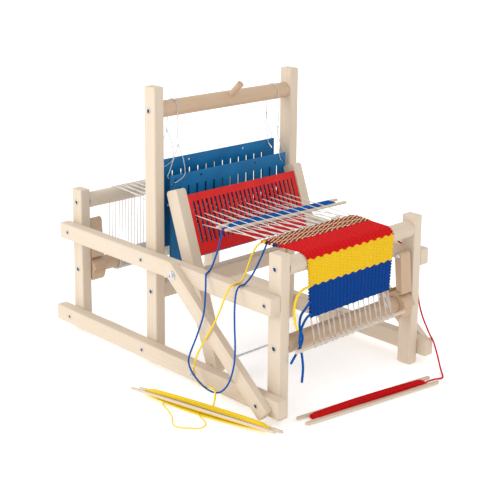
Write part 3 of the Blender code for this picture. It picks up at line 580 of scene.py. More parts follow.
def build_strand(color, route, far_end, with_pieces):
    """Loose yarn from the cloth to a shuttle."""
    obj, path = yarn_mesh(f"{color}_strand", through(route, 220), color, STRAND_RADIUS)
    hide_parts(f"strand_{color}")
    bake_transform(obj)
    declare_cord(obj, path, STRAND_RADIUS, far_end=far_end, lay="loose", with_pieces=with_pieces)


def build_loop():
    """The slack under the yellow shuttle, which goes where the shuttle goes."""
    obj, path = yarn_mesh("yellow_loop", through(YELLOW_LOOP, 120), "yellow", LOOP_RADIUS)
    finish_piece(obj, "yellow_shuttle", "yellow_yarn", "strand_yellow_loop")
    declare_cord(obj, path, LOOP_RADIUS, far_end="object", lay="loose")


def build_tails():
    for name, route in TAILS.items():
        color = name.split("_")[0]
        obj, path = yarn_mesh(f"tail_{name}", through(route, 80), color, TAIL_RADIUS)
        finish_piece(obj, "frame", f"{color}_yarn")
        declare_cord(obj, path, TAIL_RADIUS, far_end="bare", lay="hanging")


# Shuttles -----------------------------------------------------------------------------------


def shuttle_frame(color):
    centre, heading, tilt = SHUTTLES[color]
    return Matrix.Translation(centre) @ rotation(heading, "Z") @ rotation(tilt, "X")


# how many loops, their height over the stick, half their spread and their swell in the middle
WINDING_LAYERS = {
    "blue": ((10, 0.0006, 0.0080, 0.0002), (9, 0.0013, 0.0074, 0.0002)),
    "yellow": ((9, 0.0008, 0.0060, 0.0008), (9, 0.0022, 0.0060, 0.0016), (6, 0.0036, 0.0046, 0.0020)),
    "red": ((10, 0.0008, 0.0076, 0.0004), (8, 0.0021, 0.0066, 0.0018), (5, 0.0034, 0.0042, 0.0022)),
}
# the underside's depth along each layer's near edge, and how far it splays out; the far edge lies flat
UNDER_DEPTHS = {"blue": (0.0008, 0.0016), "yellow": (0.0014, 0.0070, 0.0064), "red": (0.0008,) * 3}
UNDER_SPLAY = {"blue": 0.0, "yellow": 0.7, "red": 0.0}
UNDER_FLAT = 0.0008
WINDING_YARN = 0.00095
WINDING_STEPS, UNDER_STEPS = 60, 24
NOTCH_HALF = 0.0065
LAYER_SHORTER = 0.004
HEAP_POWER = 0.7  # below 1, so that a heap rises fast at its ends
WANDER = 0.0006


def heap(share):
    return math.sin(math.pi * share) ** HEAP_POWER


def winding_loop(color, layer, turn, end):
    """One loop of yarn round both of the stick's notches, in the stick's own frame."""
    turns, rise, spread_half, swell = WINDING_LAYERS[color][layer]
    face = SHUTTLE_THICK / 2
    reach = end - LAYER_SHORTER * layer
    notch = NOTCH_HALF / spread_half
    place = spread_half * (turn / (turns - 1) * 2 - 1)
    path = []
    for step in range(WINDING_STEPS):
        share = step / (WINDING_STEPS - 1)
        squeeze = min(1.0, notch + 6 * min(share, 1 - share))
        wander = WANDER * math.sin(7 * share + 2.1 * turn + 1.7 * layer)
        height = face + rise + swell * heap(share)
        path.append((reach * (2 * share - 1), place * squeeze + wander, height))
    tip = end + 0.0012 + 0.0009 * layer
    near = place * min(1.0, notch)
    path += [(tip, near, face), (tip + 0.0005, near, 0), (tip, near, -face)]
    extra = (UNDER_DEPTHS[color][layer] - UNDER_FLAT) * (1 - place / spread_half) / 2
    for step in range(UNDER_STEPS):
        share = step / (UNDER_STEPS - 1)
        bulge = heap(share)
        across = near * (1 + UNDER_SPLAY[color] * bulge)
        path.append((reach * (1 - 2 * share), across, -face - UNDER_FLAT - extra * bulge))
    return path + [(-tip, near, -face), (-tip - 0.0005, near, 0), (-tip, near, face), path[0]]


def build_winding(color):
    """Yarn wound lengthwise over the stick in layers that heap up in the middle."""
    shape = Shape()
    end = SHUTTLE_LONG / 2 - NOTCH_DEEP
    matrix = shuttle_frame(color)
    for layer, (turns, *_) in enumerate(WINDING_LAYERS[color]):
        for turn in range(turns):
            path = winding_loop(color, layer, turn, end)
            shape.tube([matrix @ Vector(p) for p in path], WINDING_YARN, 8)
    winding = shape.build(f"winding_{color}", [BRIGHT_YARNS[color]])
    finish_piece(winding, f"{color}_shuttle", f"{color}_yarn", f"yarn_{color}")


# Warp ---------------------------------------------------------------------------------------


def dent_x(index):
    return (index - (DENTS - 1) / 2) * DENT


def back_x(index):
    return BACK_SPAN[0] + (BACK_SPAN[1] - BACK_SPAN[0]) * index / (THREADS - 1)


def spread(points, step=0.006):
    """Extra points along straight runs, so that a blended thread bends smoothly."""
    result = [Vector(points[0])]
    for first, second in zip(points, points[1:]):
        first, second = Vector(first), Vector(second)
        pieces = max(1, round((second - first).length / step))
        result += [first.lerp(second, (n + 1) / pieces) for n in range(pieces)]
    return result


THREAD_BOW = 0.0006


def thread_ahead(index, odd, y, eye):
    """From the last pick, over or under the shuttle, to the eye of the thread's heddle."""
    x = dent_x(index)
    spread_y, upper, lower = SHUTTLE_SPREADS
    woven_in = (x, FELL[0] - 0.004, FELL[1])
    return [woven_in, (x, *FELL), (x, spread_y, lower if odd else upper), (x, y, eye)]


def thread_behind(index, y, eye):
    """From the eye over the back beam and down to the winding on the warp beam."""
    beam_y, beam_z, radius = BACK_BEAM
    far_x = back_x(index)
    bow = THREAD_BOW * math.sin(2.3 * index)
    over = arc((beam_y, beam_z), radius + GAP + THREAD_RADIUS, 90, 0, 8)
    end_y = WARP_BEAM[0] + WINDING_RADIUS + 2 * GAP + THREAD_RADIUS
    ends = [(far_x + bow, *point) for point in over]
    return [(dent_x(index), y, eye), *ends, (far_x, end_y, WARP_BEAM[1])]


def build_warp():
    """The odd threads run through the front heddle and the even ones through the rear heddle."""
    for which, heddle in (("odd", "front"), ("even", "rear")):
        odd = which == "odd"
        y, _, eye = HEDDLES[heddle]
        ahead, behind = Shape(), Shape()
        for index in range(1 if odd else 0, THREADS, 2):
            ahead.tube(spread(thread_ahead(index, odd, y, eye)), THREAD_LOOKS, 8)
            behind.tube(spread(thread_behind(index, y, eye)), THREAD_LOOKS, 8)
        for where, shape in (("front", ahead), ("back", behind)):
            threads = shape.build(f"warp_{where}_{which}", [COTTON])
            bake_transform(threads)
            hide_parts("warp_threads")


WARP_TURNS = 6
TURN_STEPS = 28
HEAP_HALF = 0.0026
HEAP_RISE = 0.0035


def build_warp_winding():
    """Each thread's turns lie in a low heap of their own on the beam."""
    shape = Shape()
    y, z, radius = WARP_BEAM
    steps = TURN_STEPS * WARP_TURNS
    for index in range(THREADS):
        path = []
        for step in range(steps + 1):
            share = step / steps
            layer = share * WARP_TURNS
            angle = 2 * math.pi * WARP_TURNS * share + index
            across = HEAP_HALF * math.sin(2.4 * layer + index)
            reach = radius + 0.0011 + HEAP_RISE * share
            x = back_x(index) + across
            path.append((x, y + reach * math.cos(angle), z + reach * math.sin(angle)))
        shape.tube(path, THREAD_RADIUS, 6)
    winding = shape.build("warp_beam_threads", [COTTON])
    finish_piece(winding, "warp_beam", "cotton", "warp_winding")


# Woven cloth --------------------------------------------------------------------------------

PICK_PITCH = 0.0026
BAND_PITCH = 0.0044
BANDS = (("band", 0.0400), ("red", 0.1000), ("yellow", 0.1432), ("blue", 0.1962))
BAND_EDGE_COLORS = ("yellow", "orange", "dark", "red", "dark", "orange", "blue", "yellow", "red")
CLOTH_YARNS = ("red", "yellow", "blue", "dark", "cream", "orange")
RIB_LIFT = 0.0011
PICK_BULGE = 0.0009
PICK_REACH = 0.0055  # no pick shapes the cloth further from its centre than this
CLOTH_SKIN = 0.0002
CLOTH_OVERHANG = 0.25  # of a thread's spacing, beyond the outer threads
PICK_SAMPLES = 5
CLOTH_COLUMNS = 5 * THREADS
CLOTH_WARPS = THREADS - 1 + 2 * CLOTH_OVERHANG
STRIPE_RUN = 2.15
STRIPE_SPACING = 0.0046
STRIPE_RADIUS = 0.00115
STRIPE_STEPS = 76
STRIPE_START, STRIPE_MARGIN = 0.0006, 0.001
BEAD = 0.0052
STRIPE_COLORS = (
    ("dark", "dark", "blue", "dark", "dark", "red"),
    ("red", "orange", "dark", "red", "orange", "cream"),
    ("cream", "yellow", "cream", "yellow", "orange", "cream"),
)


def cloth_point(along):
    """(y, z) and the outward direction of the cloth's middle surface, a distance along it."""
    beam_y, beam_z, radius = BREAST_BEAM
    wrap = radius + GAP + CLOTH_THICK / 2
    flat = CLOTH_START - beam_y
    bend = wrap * math.pi / 2
    if along < flat:
        return Vector((0, CLOTH_START - along, beam_z + wrap)), Vector((0, 0, 1))
    if along < flat + bend:
        angle = math.pi / 2 + (along - flat) / wrap
        out = Vector((0, math.cos(angle), math.sin(angle)))
        return Vector((0, beam_y, beam_z)) + out * wrap, out
    return Vector((0, beam_y - wrap, beam_z - (along - flat - bend))), Vector((0, -1, 0))


def cloth_picks():
    """(distance along the cloth, pitch, colour or band) of every pick."""
    picks = []
    start = 0.0
    for band, end in BANDS:
        pitch = BAND_PITCH if band == "band" else PICK_PITCH
        count = round((end - start) / pitch)
        for number in range(count):
            centre = start + (end - start) * (number + 0.5) / count
            picks.append((centre, (end - start) / count, band))
        start = end
    return picks


def pick_height(over, offset, pitch):
    """Height of a pick at an offset along the cloth; over is 1 above a warp thread, -1 under it."""
    reach = pitch * (0.62 + 0.5 * max(0.0, over))
    inside = 1 - (offset / reach) ** 2
    if inside <= 0:
        return -1.0
    return RIB_LIFT * over + PICK_BULGE * math.sqrt(inside)


def cloth_edges(along):
    (left, right), (hem_left, hem_right) = CLOTH_EDGES
    done = along / BANDS[-1][1]
    return left + (hem_left - left) * done, right + (hem_right - right) * done


def cloth_rows(picks):
    rows = [0.0]
    for centre, pitch, _ in picks:
        offsets = [(n + 0.5) / PICK_SAMPLES - 0.5 for n in range(PICK_SAMPLES)]
        rows += [centre + pitch * offset for offset in offsets]
    return [*rows, BANDS[-1][1]]


def top_pick(picks, near, along, warp, side):
    """The height and the band of the pick that lies outermost at a place on the cloth."""
    best, band = -1.0, picks[near[0]][2]
    for number in near:
        centre, pitch, name = picks[number]
        over = math.cos(math.pi * (warp + number)) * side
        height = pick_height(over, along - centre, pitch)
        if height > best:
            best, band = height, name
    return max(best, CLOTH_SKIN), band


def cloth_points(shape, rows, side, index_of, marks):
    """Adds one side's points; the rim's points are shared by both sides."""
    picks = cloth_picks()
    for row, along in enumerate(rows):
        middle, out = cloth_point(along)
        left, right = cloth_edges(along)
        near = [n for n, (centre, _, _) in enumerate(picks) if abs(centre - along) < PICK_REACH]
        for column in range(CLOTH_COLUMNS + 1):
            rim = row in (0, len(rows) - 1) or column in (0, CLOTH_COLUMNS)
            if side == -1 and rim:
                index_of[side, row, column] = index_of[1, row, column]
                continue
            across = column / CLOTH_COLUMNS
            height, band = top_pick(picks, near, along, across * CLOTH_WARPS - CLOTH_OVERHANG, side)
            index_of[side, row, column] = len(shape.points)
            marks[side, row, column] = CLOTH_YARNS.index("dark" if band == "band" else band)
            spot = middle + out * (0.0 if rim else height) * side
            shape.points.append(Vector((left + (right - left) * across, spot.y, spot.z)))


def build_cloth():
    """A closed slab whose faces are the picks, which pass over and under every second thread."""
    rows = cloth_rows(cloth_picks())
    shape = Shape()
    index_of = {}
    marks = {}
    for side in (1, -1):
        cloth_points(shape, rows, side, index_of, marks)
    for side in (1, -1):
        for row in range(len(rows) - 1):
            for column in range(CLOTH_COLUMNS):
                cells = ((row, column), (row + 1, column), (row + 1, column + 1), (row, column + 1))
                corners = [index_of[side, r, c] for r, c in cells]
                uvs = [(c / CLOTH_COLUMNS * CLOTH_WARPS * DENT, rows[r] / 0.01) for r, c in cells]
                if side == -1:
                    corners.reverse()
                    uvs.reverse()
                shape.face(corners, uvs, marks.get((side, row, column), marks[1, row, column]))
    cloth = shape.build("woven_cloth", [YARNS[name] for name in CLOTH_YARNS])
    return finish_piece(cloth, "frame", "woven_cloth", "cloth")


def stripe(number, start_x, slant):
    """A slanting yarn's path, radii and colours, bead by bead, where it lies on the cloth."""
    depth = BANDS[0][1]
    colors = STRIPE_COLORS[number % len(STRIPE_COLORS)]
    path, radii, marks = [], [], []
    for step in range(STRIPE_STEPS + 1):
        share = step / STRIPE_STEPS
        along = depth * (1 - share) + STRIPE_START
        x = start_x + slant * share
        low, high = cloth_edges(along)
        if not low + STRIPE_MARGIN < x < high - STRIPE_MARGIN:
            continue
        middle, out = cloth_point(along)
        travelled = share * slant * 1.1
        swell = abs(math.sin(math.pi * travelled / BEAD + number))
        spot = middle + out * (0.0011 + 0.0003 * swell)
        path.append((x, spot.y, spot.z))
        radii.append(STRIPE_RADIUS * (0.74 + 0.26 * swell))
        name = colors[int(travelled / BEAD + number / math.pi) % len(colors)]
        marks.append(CLOTH_YARNS.index(name))
    return path, radii, marks


def build_band():
    """The many-coloured band: beaded yarns that slant across the cloth, three tones in turn."""
    shape = Shape()
    slant = STRIPE_RUN * BANDS[0][1]
    left, right = cloth_edges(0.0)
    sides = 8
    for number in range(round((right - left + slant) / STRIPE_SPACING)):
        start_x = left - slant + STRIPE_SPACING * (number + 0.5)
        path, radii, marks = stripe(number, start_x, slant)
        if len(path) < 4:
            continue
        base = len(shape.marks)
        shape.tube(path, radii, sides)
        for ring in range(len(path) - 1):
            first = base + ring * sides
            shape.marks[first : first + sides] = [marks[ring]] * sides
    band = shape.build("cloth_band", [YARNS[name] for name in CLOTH_YARNS])
    return finish_piece(band, "frame", "woven_cloth")


SELVAGE_STEPS = 8
SELVAGE_TUCK = 0.0022
BAND_BULGE, BAND_YARN = 0.0036, 0.0019
PLAIN_BULGE, PLAIN_YARN = 0.0014, 0.0011
EDGE_KNOTS = ("orange", "yellow", "dark", "red", "cream", "dark", "blue")
EDGE_KNOT_SIZE = (0.0024, 0.0026, 0.0026)
EDGE_KNOT_START, EDGE_KNOT_SPACING, EDGE_KNOT_OUT = 0.004, 0.0052, 0.0035


def selvage_loop(first, second, side, bulge):
    """From one pick round the edge thread to the next, tucked in at both ends."""
    path = []
    for step in range(SELVAGE_STEPS + 1):
        angle = math.pi * step / SELVAGE_STEPS
        along = first + (second - first) * (1 - math.cos(angle)) / 2
        middle, _ = cloth_point(along)
        tuck = SELVAGE_TUCK if step in (0, SELVAGE_STEPS) else 0.0
        out = bulge * math.sin(angle) - tuck
        path.append((cloth_edges(along)[side] + (out if side else -out), middle.y, middle.z))
    return path


def build_selvages():
    """Each pick turns back round the edge threads in a small loop, and knots line the band's left edge."""
    shape = Shape()
    picks = cloth_picks()
    for side in (0, 1):
        for number in range(side, len(picks) - 1, 2):
            (first, _, band), (second, _, _) = picks[number : number + 2]
            banded = band == "band"
            name = BAND_EDGE_COLORS[number % len(BAND_EDGE_COLORS)] if banded else band
            path = selvage_loop(first, second, side, BAND_BULGE if banded else PLAIN_BULGE)
            shape.tube(path, BAND_YARN if banded else PLAIN_YARN, 8, mark=CLOTH_YARNS.index(name))
    for number, name in enumerate(EDGE_KNOTS):
        along = EDGE_KNOT_START + EDGE_KNOT_SPACING * number
        middle, _ = cloth_point(along)
        x = cloth_edges(along)[0] - EDGE_KNOT_OUT + 0.001 * math.sin(2.2 * number)
        shape.ball((x, middle.y, middle.z), EDGE_KNOT_SIZE, CLOTH_YARNS.index(name))
    loops = shape.build("cloth_selvage_loops", [YARNS[name] for name in CLOTH_YARNS])
    return finish_piece(loops, "frame", "woven_cloth")


HEM_Y = BREAST_BEAM[0] - BREAST_BEAM[2] - GAP - CLOTH_THICK / 2
LEADER_RADIUS = 0.0005
LEADER_BEND = 0.134  # height where a pair of leaders spreads
HEM_KNOT = (0.0017, 0.0014, 0.0014)
STICK_KNOT = (0.0018, 0.0012, 0.0012)
LEADER_RING_STEPS = 14
LOOSE_ENDS = ((0.0, 0.0), (0.0025, -0.0012), (-0.0022, 0.0008))


def build_leaders():
    """The warp's ends under the hem: a knot on each, and the pairs tied round the stick."""
    shape = Shape()
    left, right = CLOTH_EDGES[1]
    stick_y, stick_z, stick_radius = STICK
    turn = stick_radius + 0.0006
    ring = arc((stick_y, stick_z), turn, 60, 420, LEADER_RING_STEPS)
    for number in range(LEADERS):
        x = left + 0.002 + (right - left - 0.004) * number / (LEADERS - 1)
        slant = 0.0016 * math.sin(2.7 * number)
        shape.ball((x, HEM_Y - 0.0003, CLOTH_HEM - 0.0014), HEM_KNOT)
        for strand in (-1, 1):
            path = [(x + strand * 0.0005, HEM_Y, CLOTH_HEM - 0.002)]
            path.append((x + strand * 0.0011 + slant * 0.5, (HEM_Y + stick_y) / 2, LEADER_BEND))
            for step, point in enumerate(ring):
                path.append((x + slant + strand * 0.0007 * (1 + step / LEADER_RING_STEPS), *point))
            shape.tube(path, LEADER_RADIUS, 6)
        shape.ball((x + slant, stick_y - 0.001, stick_z + turn + 0.0006), STICK_KNOT)
    leaders = shape.build("hem_leaders", [COTTON])
    return finish_piece(leaders, "frame", "cotton", "cloth_leaders")


def build_loose_ends():
    """Three untied thread ends at the hem's right corner."""
    shape = Shape()
    for n, (dx, dy) in enumerate(LOOSE_ENDS):
        x = CLOTH_EDGES[1][1] - 0.012 + dx
        path = [
            (x, HEM_Y, CLOTH_HEM - 0.002),
            (x + 0.004 * n, HEM_Y - 0.001 + dy, 0.143),
            (x + 0.006 + 0.003 * n, HEM_Y - 0.003 + dy, 0.128 - 0.003 * n),
        ]
        shape.tube(through(path, 16), 0.0006, 6)
    return finish_piece(shape.build("hem_thread_ends", [COTTON]), "frame", "cotton")


# Heddle cords -------------------------------------------------------------------------------


CORD_BOWS = {"front": 0.0028, "rear": -0.0022}
CORD_FIT = {"sides": 10, "plies": 3, "pitch": 0.005}
FORK_SPREAD = {-1: 1.0, 1: 0.25}  # how far the fork opens, on the left and on the right
STAPLE_ANGLE = 118
STAPLE_HALF = 0.0022


def fork_legs(sign, y, top):
    """The two legs from the knot down to the hook hole, one outside the plate and one inside."""
    hook_x, hook_drop = HOOK
    opened = FORK_SPREAD[sign]
    knot = (sign * CORD_X, y, top + CORD_FORK)
    outer = [
        knot,
        (sign * (CORD_X + 0.012 * opened), y - 0.0005, top + 0.026),
        (sign * (0.131 + 0.0085 * opened), y - 0.0006, top + 0.007),
        (sign * (0.132 + 0.0082 * opened), y + 0.0022, top - 0.001),
        (sign * hook_x, y + 0.0028, top - hook_drop),
    ]
    inner = [
        knot,
        (sign * (CORD_X - 0.009 * opened), y - 0.0008, top + 0.030),
        (sign * (0.1245 - 0.018 * opened), y - 0.0030, top + 0.006),
        (sign * (0.1255 - 0.016 * opened), y - 0.0030, top - 0.004),
        (sign * 0.1245, y - 0.0026, top - 0.0115),
        (sign * hook_x, y + 0.0004, top - hook_drop),
    ]
    return outer, inner


def build_heddle_cord(which, side, sign):
    """A cord from the roller to a knot, and its fork from there to the heddle's corner."""
    y, bottom, _ = HEDDLES[which]
    top = bottom + HEDDLE_TALL
    fork = top + CORD_FORK
    roller_z = ROLLER[1]
    bow = sign * (CORD_X + CORD_BOWS[which] * 0.8)
    hang = [(sign * CORD_X, y, roller_z), (bow, y, (roller_z + fork) / 2 + 0.006), (sign * CORD_X, y, fork)]
    shape = Shape()
    shape.tube(through(hang, 44), CORD_RADIUS, **CORD_FIT)
    shape.ball((sign * CORD_X, y, fork), (0.0019, 0.0017, 0.0017))
    shape.ball((sign * CORD_X, y, fork - 0.0024), (0.0014, 0.0014, 0.0014))
    for leg in fork_legs(sign, y, top):
        shape.tube(through(leg, 44), CORD_RADIUS * 0.9, **CORD_FIT)
    cord = shape.build(f"tied_cord_{which}_{side}", [CORD])
    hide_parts(f"heddle_cord_{which}_{side}")
    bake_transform(cord)


def build_heddle_cords():
    for which in HEDDLES:
        for side, sign in SIDES:
            build_heddle_cord(which, side, sign)


def build_roller_cords():
    """Half a turn of cord over each end of the roller, and the staple that holds it."""
    roller_y, roller_z, radius = ROLLER
    angle = math.radians(STAPLE_ANGLE)
    out = Vector((0, math.cos(angle), math.sin(angle)))
    centre = Vector((0, roller_y, roller_z))
    for side, sign in SIDES:
        x = sign * CORD_X
        shape = Shape()
        over = [(x, *point) for point in arc((roller_y, roller_z), CORD_ARC, 0, 180, 60)]
        shape.tube(over, CORD_RADIUS, **CORD_FIT)
        cord = shape.build(f"cord_over_roller_{side}", [CORD])
        finish_piece(cord, "frame", "cord", f"roller_cord_{side}")
        shape = Shape()
        low, high = centre + out * (radius - 0.001), centre + out * (radius + 0.0021)
        near, far = Vector((x - STAPLE_HALF, 0, 0)), Vector((x + STAPLE_HALF, 0, 0))
        shape.tube(through([low + near, high + near, high + far, low + far], 18), 0.0005, 8)
        finish_piece(shape.build(f"roller_staple_{side}", [STEEL]), "roller", "steel")


# Round bars ---------------------------------------------------------------------------------


SHARP_ANGLE = 40


def lathe(name, profile, material, matrix=None, sides=64, smooth=True):
    """A turned solid: (x, radius) pairs along X, closed at both ends."""
    shape = Shape()
    for x, radius in profile:
        for side in range(sides):
            angle = 2 * math.pi * side / sides
            shape.points.append(Vector((x, radius * math.cos(angle), radius * math.sin(angle))))
    for ring in range(len(profile) - 1):
        for side in range(sides):
            beside = (side + 1) % sides
            low, high = ring * sides, (ring + 1) * sides
            corners = (low + side, high + side, high + beside, low + beside)
            shape.face(corners, [(profile[ring][0], side / sides)] * 4)
    last = (len(profile) - 1) * sides
    shape.face(tuple(range(sides)), [(0, 0)] * sides)
    shape.face(tuple(last + side for side in reversed(range(sides))), [(0, 0)] * sides)
    obj = shape.build(name, [material], smooth)
    if matrix:
        obj.data.transform(matrix)
    if smooth:
        obj.data.set_sharp_from_angle(angle=math.radians(SHARP_ANGLE))
    return obj


BAR_EDGE, STICK_EDGE, PEG_EDGE = 0.0009, 0.0005, 0.0012
EDGE_STEPS = 3


def bar_profile(ends, radius, edge):
    """A bar's profile between its ends, with an eased edge at each."""
    profile = []
    for step in range(EDGE_STEPS + 1):
        angle = math.pi / 2 * step / EDGE_STEPS
        inset = edge * (1 - math.sin(angle))
        profile.append((ends[0] + inset, radius - edge * (1 - math.cos(math.pi / 2 - angle))))
    mirrored = [(ends[0] + ends[1] - x, reach) for x, reach in reversed(profile)]
    return profile + mirrored


def build_bar(node, body, bar, ends, wood_name, edge=BAR_EDGE, sides=64):
    y, z, radius = bar
    profile = bar_profile(ends, radius, edge)
    turned = lathe(f"turned_{node}", profile, WOODS[wood_name], Matrix.Translation((0, y, z)), sides)
    finish_piece(turned, body, "pine", node)


def build_bars():
    bars = (
        ("back_beam", "frame", BACK_BEAM, "pale_dowel"),
        ("breast_beam", "frame", BREAST_BEAM, "pale_dowel"),
        ("warp_beam", "warp_beam", WARP_BEAM, "dowel"),
        ("cloth_beam", "cloth_beam", CLOTH_BEAM, "dowel"),
        ("harness_roller", "roller", ROLLER, "dowel"),
    )
    for node, body, bar, wood_name in bars:
        build_bar(node, body, bar, (-BAR_HALF, BAR_HALF), wood_name)
    build_bar("cloth_stick", "frame", STICK, STICK_ENDS, "pale_dowel", STICK_EDGE, 32)


# each peg's x, radius, lean in degrees, and its ends' distances from the bar's axis
ROLLER_PEG = (0.008, 0.006, 47.0, -0.019, 0.045)
CLOTH_PEG = (0.082, 0.0047, 10.0, 0.006, 0.038)


def build_pegs():
    pegs = (
        ("roller_peg", "roller", ROLLER, ROLLER_PEG),
        ("cloth_beam_peg", "cloth_beam", CLOTH_BEAM, CLOTH_PEG),
    )
    for node, body, (y, z, _), (x, radius, lean, start, end) in pegs:
        matrix = Matrix.Translation((x, y, z)) @ rotation(lean, "X") @ rotation(-90, "Y")
        profile = bar_profile((start, end), radius, PEG_EDGE)
        peg = lathe(f"turned_{node}", profile, WOODS["peg"], matrix, 40)
        finish_piece(peg, body, "pine", node)


# Screws, bolts and nuts ---------------------------------------------------------------------


# profiles are (x, radius) pairs from the wood outwards
SCREW_PROFILE = (
    (-0.0004, 0.0030), (0.0004, 0.0037), (0.0010, 0.0037),
    (0.0013, 0.0034), (0.0012, 0.0029), (0.0003, 0.0026),
)
SCREW_CROSS = (0.0030, 0.0002)  # a cross's length and depth
SCREW_SHADE_REACH = 0.0021  # the recess is painted near-black, as shade, within this radius
AXLE_SCREW_SIZE = 1.3
PAN_PROFILE = ((0.0, 0.0043), (0.0014, 0.0044), (0.0027, 0.0039), (0.0034, 0.0030), (0.0037, 0.0020))
PAN_CROSS = (0.0048, 0.0021)
CROSS_ARM = 0.26  # an arm's width over the cross's length
WASHER_INNER, WASHER_OUTER, WASHER_THICK, WASHER_EDGE = 0.0022, 0.0074, 0.0012, 0.0003
NUT_PROFILE = ((0.0, 0.0041), (0.0003, 0.0045), (0.0027, 0.0045), (0.0031, 0.0040))
ROD_TIP = ((0.0031, 0.0020), (0.0044, 0.0020), (0.0049, 0.0014))
AXLES = (
    ("back", "upper", BACK_BEAM[:2]),
    ("back", "lower", WARP_BEAM[:2]),
    ("front", "upper", BREAST_BEAM[:2]),
    ("front", "lower", CLOTH_BEAM[:2]),
    ("tall", "upper", ROLLER[:2]),
    ("tall", "lower", LOWER_SCREW),
)


def cross_cutter(size, depth):
    bm = bmesh.new()
    for turn in (0, 90):
        arm = Matrix.Diagonal((2 * depth, size, size * CROSS_ARM, 1.0))
        bmesh.ops.create_cube(bm, size=1.0, matrix=rotation(turn, "X") @ arm)
    mesh = bpy.data.meshes.new("cross")
    bm.to_mesh(mesh)
    bm.free()
    return new_object("cross", mesh)


def cross_head(name, profile, size, depth):
    """A turned head facing +X with a cross recess in it, as a mesh to share."""
    head = lathe(name, profile, STEEL, None, 40)
    cutter = cross_cutter(size, depth)
    cutter.location.x = profile[-1][0]
    cut = head.modifiers.new("Cross", "BOOLEAN")
    cut.operation = "DIFFERENCE"
    cut.solver = "EXACT"
    cut.use_self = True
    cut.object = cutter
    graph = bpy.context.evaluated_depsgraph_get()
    mesh = bpy.data.meshes.new_from_object(head.evaluated_get(graph))
    bpy.data.objects.remove(head, do_unlink=True)
    bpy.data.objects.remove(cutter, do_unlink=True)
    return mesh


def facing(sign):
    return rotation(0 if sign > 0 else 180, "Z")


def fasten(name, mesh, location, sign, turn, size=1.0):
    """A head on the loom's left or right side, turned to its own angle."""
    obj = new_object(name, mesh.copy())
    scale = Matrix.Diagonal((1.0, size, size, 1.0))
    obj.data.transform(Matrix.Translation(location) @ facing(sign) @ rotation(turn, "X") @ scale)
    return finish_piece(obj, "frame", "steel")


def screw_head():
    """A bright rim round a shallow recess, with a cross in its middle; the recess's middle is painted
    near-black as shade.
    """
    head = cross_head("screw_head", SCREW_PROFILE, *SCREW_CROSS)
    # Painted shade: the faces of the recess and of its cross inside the shade radius get the near-black
    # steel.
    head.materials.append(SHADE_STEEL)
    for polygon in head.polygons:
        reach = math.hypot(polygon.center.y, polygon.center.z)
        if reach < SCREW_SHADE_REACH and polygon.center.x > 0:
            polygon.material_index = 1
    return head


def build_screws():
    """One screw where a post meets a rail, one at each brace's foot and one on every bar's end."""
    head = screw_head()
    for side, sign in SIDES:
        for post, y in POST_Y.items():
            for level, z in zip(("low", "high"), RAIL_HEIGHTS):
                if (post, level) == ("front", "low"):
                    continue
                turn = 17 * len(post) + 31 * z * 100
                place = (sign * RAIL_FACE, y, z)
                fasten(f"screw_rail_{post}_{level}_{side}", head, place, sign, turn)
        fasten(f"screw_brace_{side}", head, (sign * BRACE_FACE, *BRACE_FOOT), sign, 24)
        for post, level, (y, z) in AXLES:
            place = (sign * POST_FACE, y, z)
            name = f"screw_axle_{post}_{level}_{side}"
            fasten(name, head, place, sign, 40 * y * 100, AXLE_SCREW_SIZE)


def build_washer(node, matrix):
    profile = (
        (0.0, WASHER_INNER),
        (0.0, WASHER_OUTER - WASHER_EDGE),
        (WASHER_EDGE, WASHER_OUTER),
        (WASHER_THICK - WASHER_EDGE, WASHER_OUTER),
        (WASHER_THICK, WASHER_OUTER - WASHER_EDGE),
        (WASHER_THICK, WASHER_INNER),
    )
    finish_piece(lathe(f"washer_{node}", profile, STEEL, matrix, 48), "frame", "steel", node)


def build_bolts():
    """A pan head on a washer at each brace's top, and a nut on a washer at each end of the pivot."""
    head = cross_head("bolt_head", PAN_PROFILE, *PAN_CROSS)
    for side, sign in SIDES:
        on_brace = (sign * (BRACE_FACE + GAP), *BRACE_HEAD)
        build_washer(f"brace_bolt_{side}", Matrix.Translation(on_brace) @ facing(sign))
        place = (sign * (BRACE_FACE + GAP + WASHER_THICK), *BRACE_HEAD)
        fasten(f"bolt_head_{side}", head, place, sign, 12)
        on_rail = Matrix.Translation((sign * (RAIL_FACE + GAP), *PIVOT)) @ facing(sign)
        build_washer(f"pivot_nut_{side}", on_rail)
        build_nut(f"hex_nut_{side}", on_rail @ Matrix.Translation((WASHER_THICK, 0, 0)))


def build_nut(name, matrix):
    """A hexagonal nut with chamfered corners and the rod's end in it."""
    nut = lathe(name, NUT_PROFILE, STEEL, matrix, 6, False)
    finish_piece(nut, "frame", "steel")
    end = lathe(f"{name}_rod_end", ROD_TIP, STEEL, matrix, 24)
    finish_piece(end, "frame", "steel")


# Pieces that keep their CAD shape ------------------------------------------------------------


MERGE_WITHIN = 0.00001
PLASTIC_EDGE = 0.0003


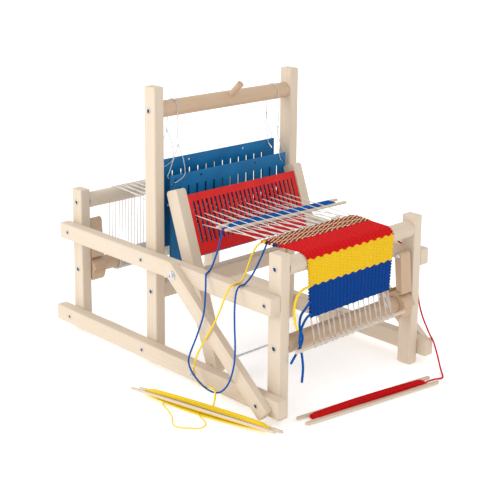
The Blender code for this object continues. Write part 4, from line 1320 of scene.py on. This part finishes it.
def dress(node, material, edge=0.0, segments=2):
    """Gives a CAD piece its material, and softens its edges by a modifier."""
    obj = NODES[node]
    obj.data.materials.clear()
    obj.data.materials.append(material)
    if not edge:
        return
    weld = obj.modifiers.new("Weld", "WELD")
    weld.merge_threshold = MERGE_WITHIN
    bevel = obj.modifiers.new("Edge", "BEVEL")
    bevel.width = edge
    bevel.segments = segments
    bevel.limit_method = "ANGLE"
    bevel.angle_limit = math.radians(SHARP_ANGLE)
    bevel.harden_normals = False
    normals = obj.modifiers.new("Normals", "WEIGHTED_NORMAL")
    normals.keep_sharp = False


def dress_cad():
    for side, _ in SIDES:
        for post in POST_Y:
            dress(f"post_{post}_{side}", WOODS["z"])
        for rail in ("bottom", "middle"):
            dress(f"rail_{rail}_{side}", WOODS["y"])
        dress(f"brace_{side}", WOODS["brace"], 0.0012)
        dress(f"beater_arm_{side}", WOODS["arm"], 0.0016)
    dress("lower_bar", WOODS["x"])
    for beam in ("warp", "cloth"):
        dress(f"{beam}_ratchet", WOODS["wheel"], 0.0007)
        dress(f"{beam}_pawl", WOODS["peg"], 0.0009)
        dress(f"{beam}_pawl_screw", STEEL)
    dress("pivot_rod", STEEL)
    dress("reed", RED_PLASTIC, PLASTIC_EDGE, 1)
    for which in HEDDLES:
        dress(f"heddle_{which}", BLUE_PLASTIC, PLASTIC_EDGE, 1)
    for color in SHUTTLES:
        dress(f"shuttle_{color}", WOODS["x" if color != "yellow" else "stick"], 0.0008)


# Assembly -----------------------------------------------------------------------------------

build_camera()
build_light()
build_floor()

for color in SHUTTLES:
    build_winding(color)
build_strand("blue", tuple(reversed(BLUE_ROUTE)), "object", ())
build_strand("yellow", YELLOW_ROUTE, "tool", [NODES["shuttle_yellow"]])
build_strand("red", RED_ROUTE, "tool", [NODES["shuttle_red"]])
build_loop()
build_tails()

build_warp()
build_warp_winding()
CLOTH = build_cloth()
CLOTH_PIECES = [build_band(), build_selvages(), build_leaders(), build_loose_ends()]
build_heddle_cords()
build_roller_cords()
build_bars()
build_pegs()
build_screws()
build_bolts()
dress_cad()
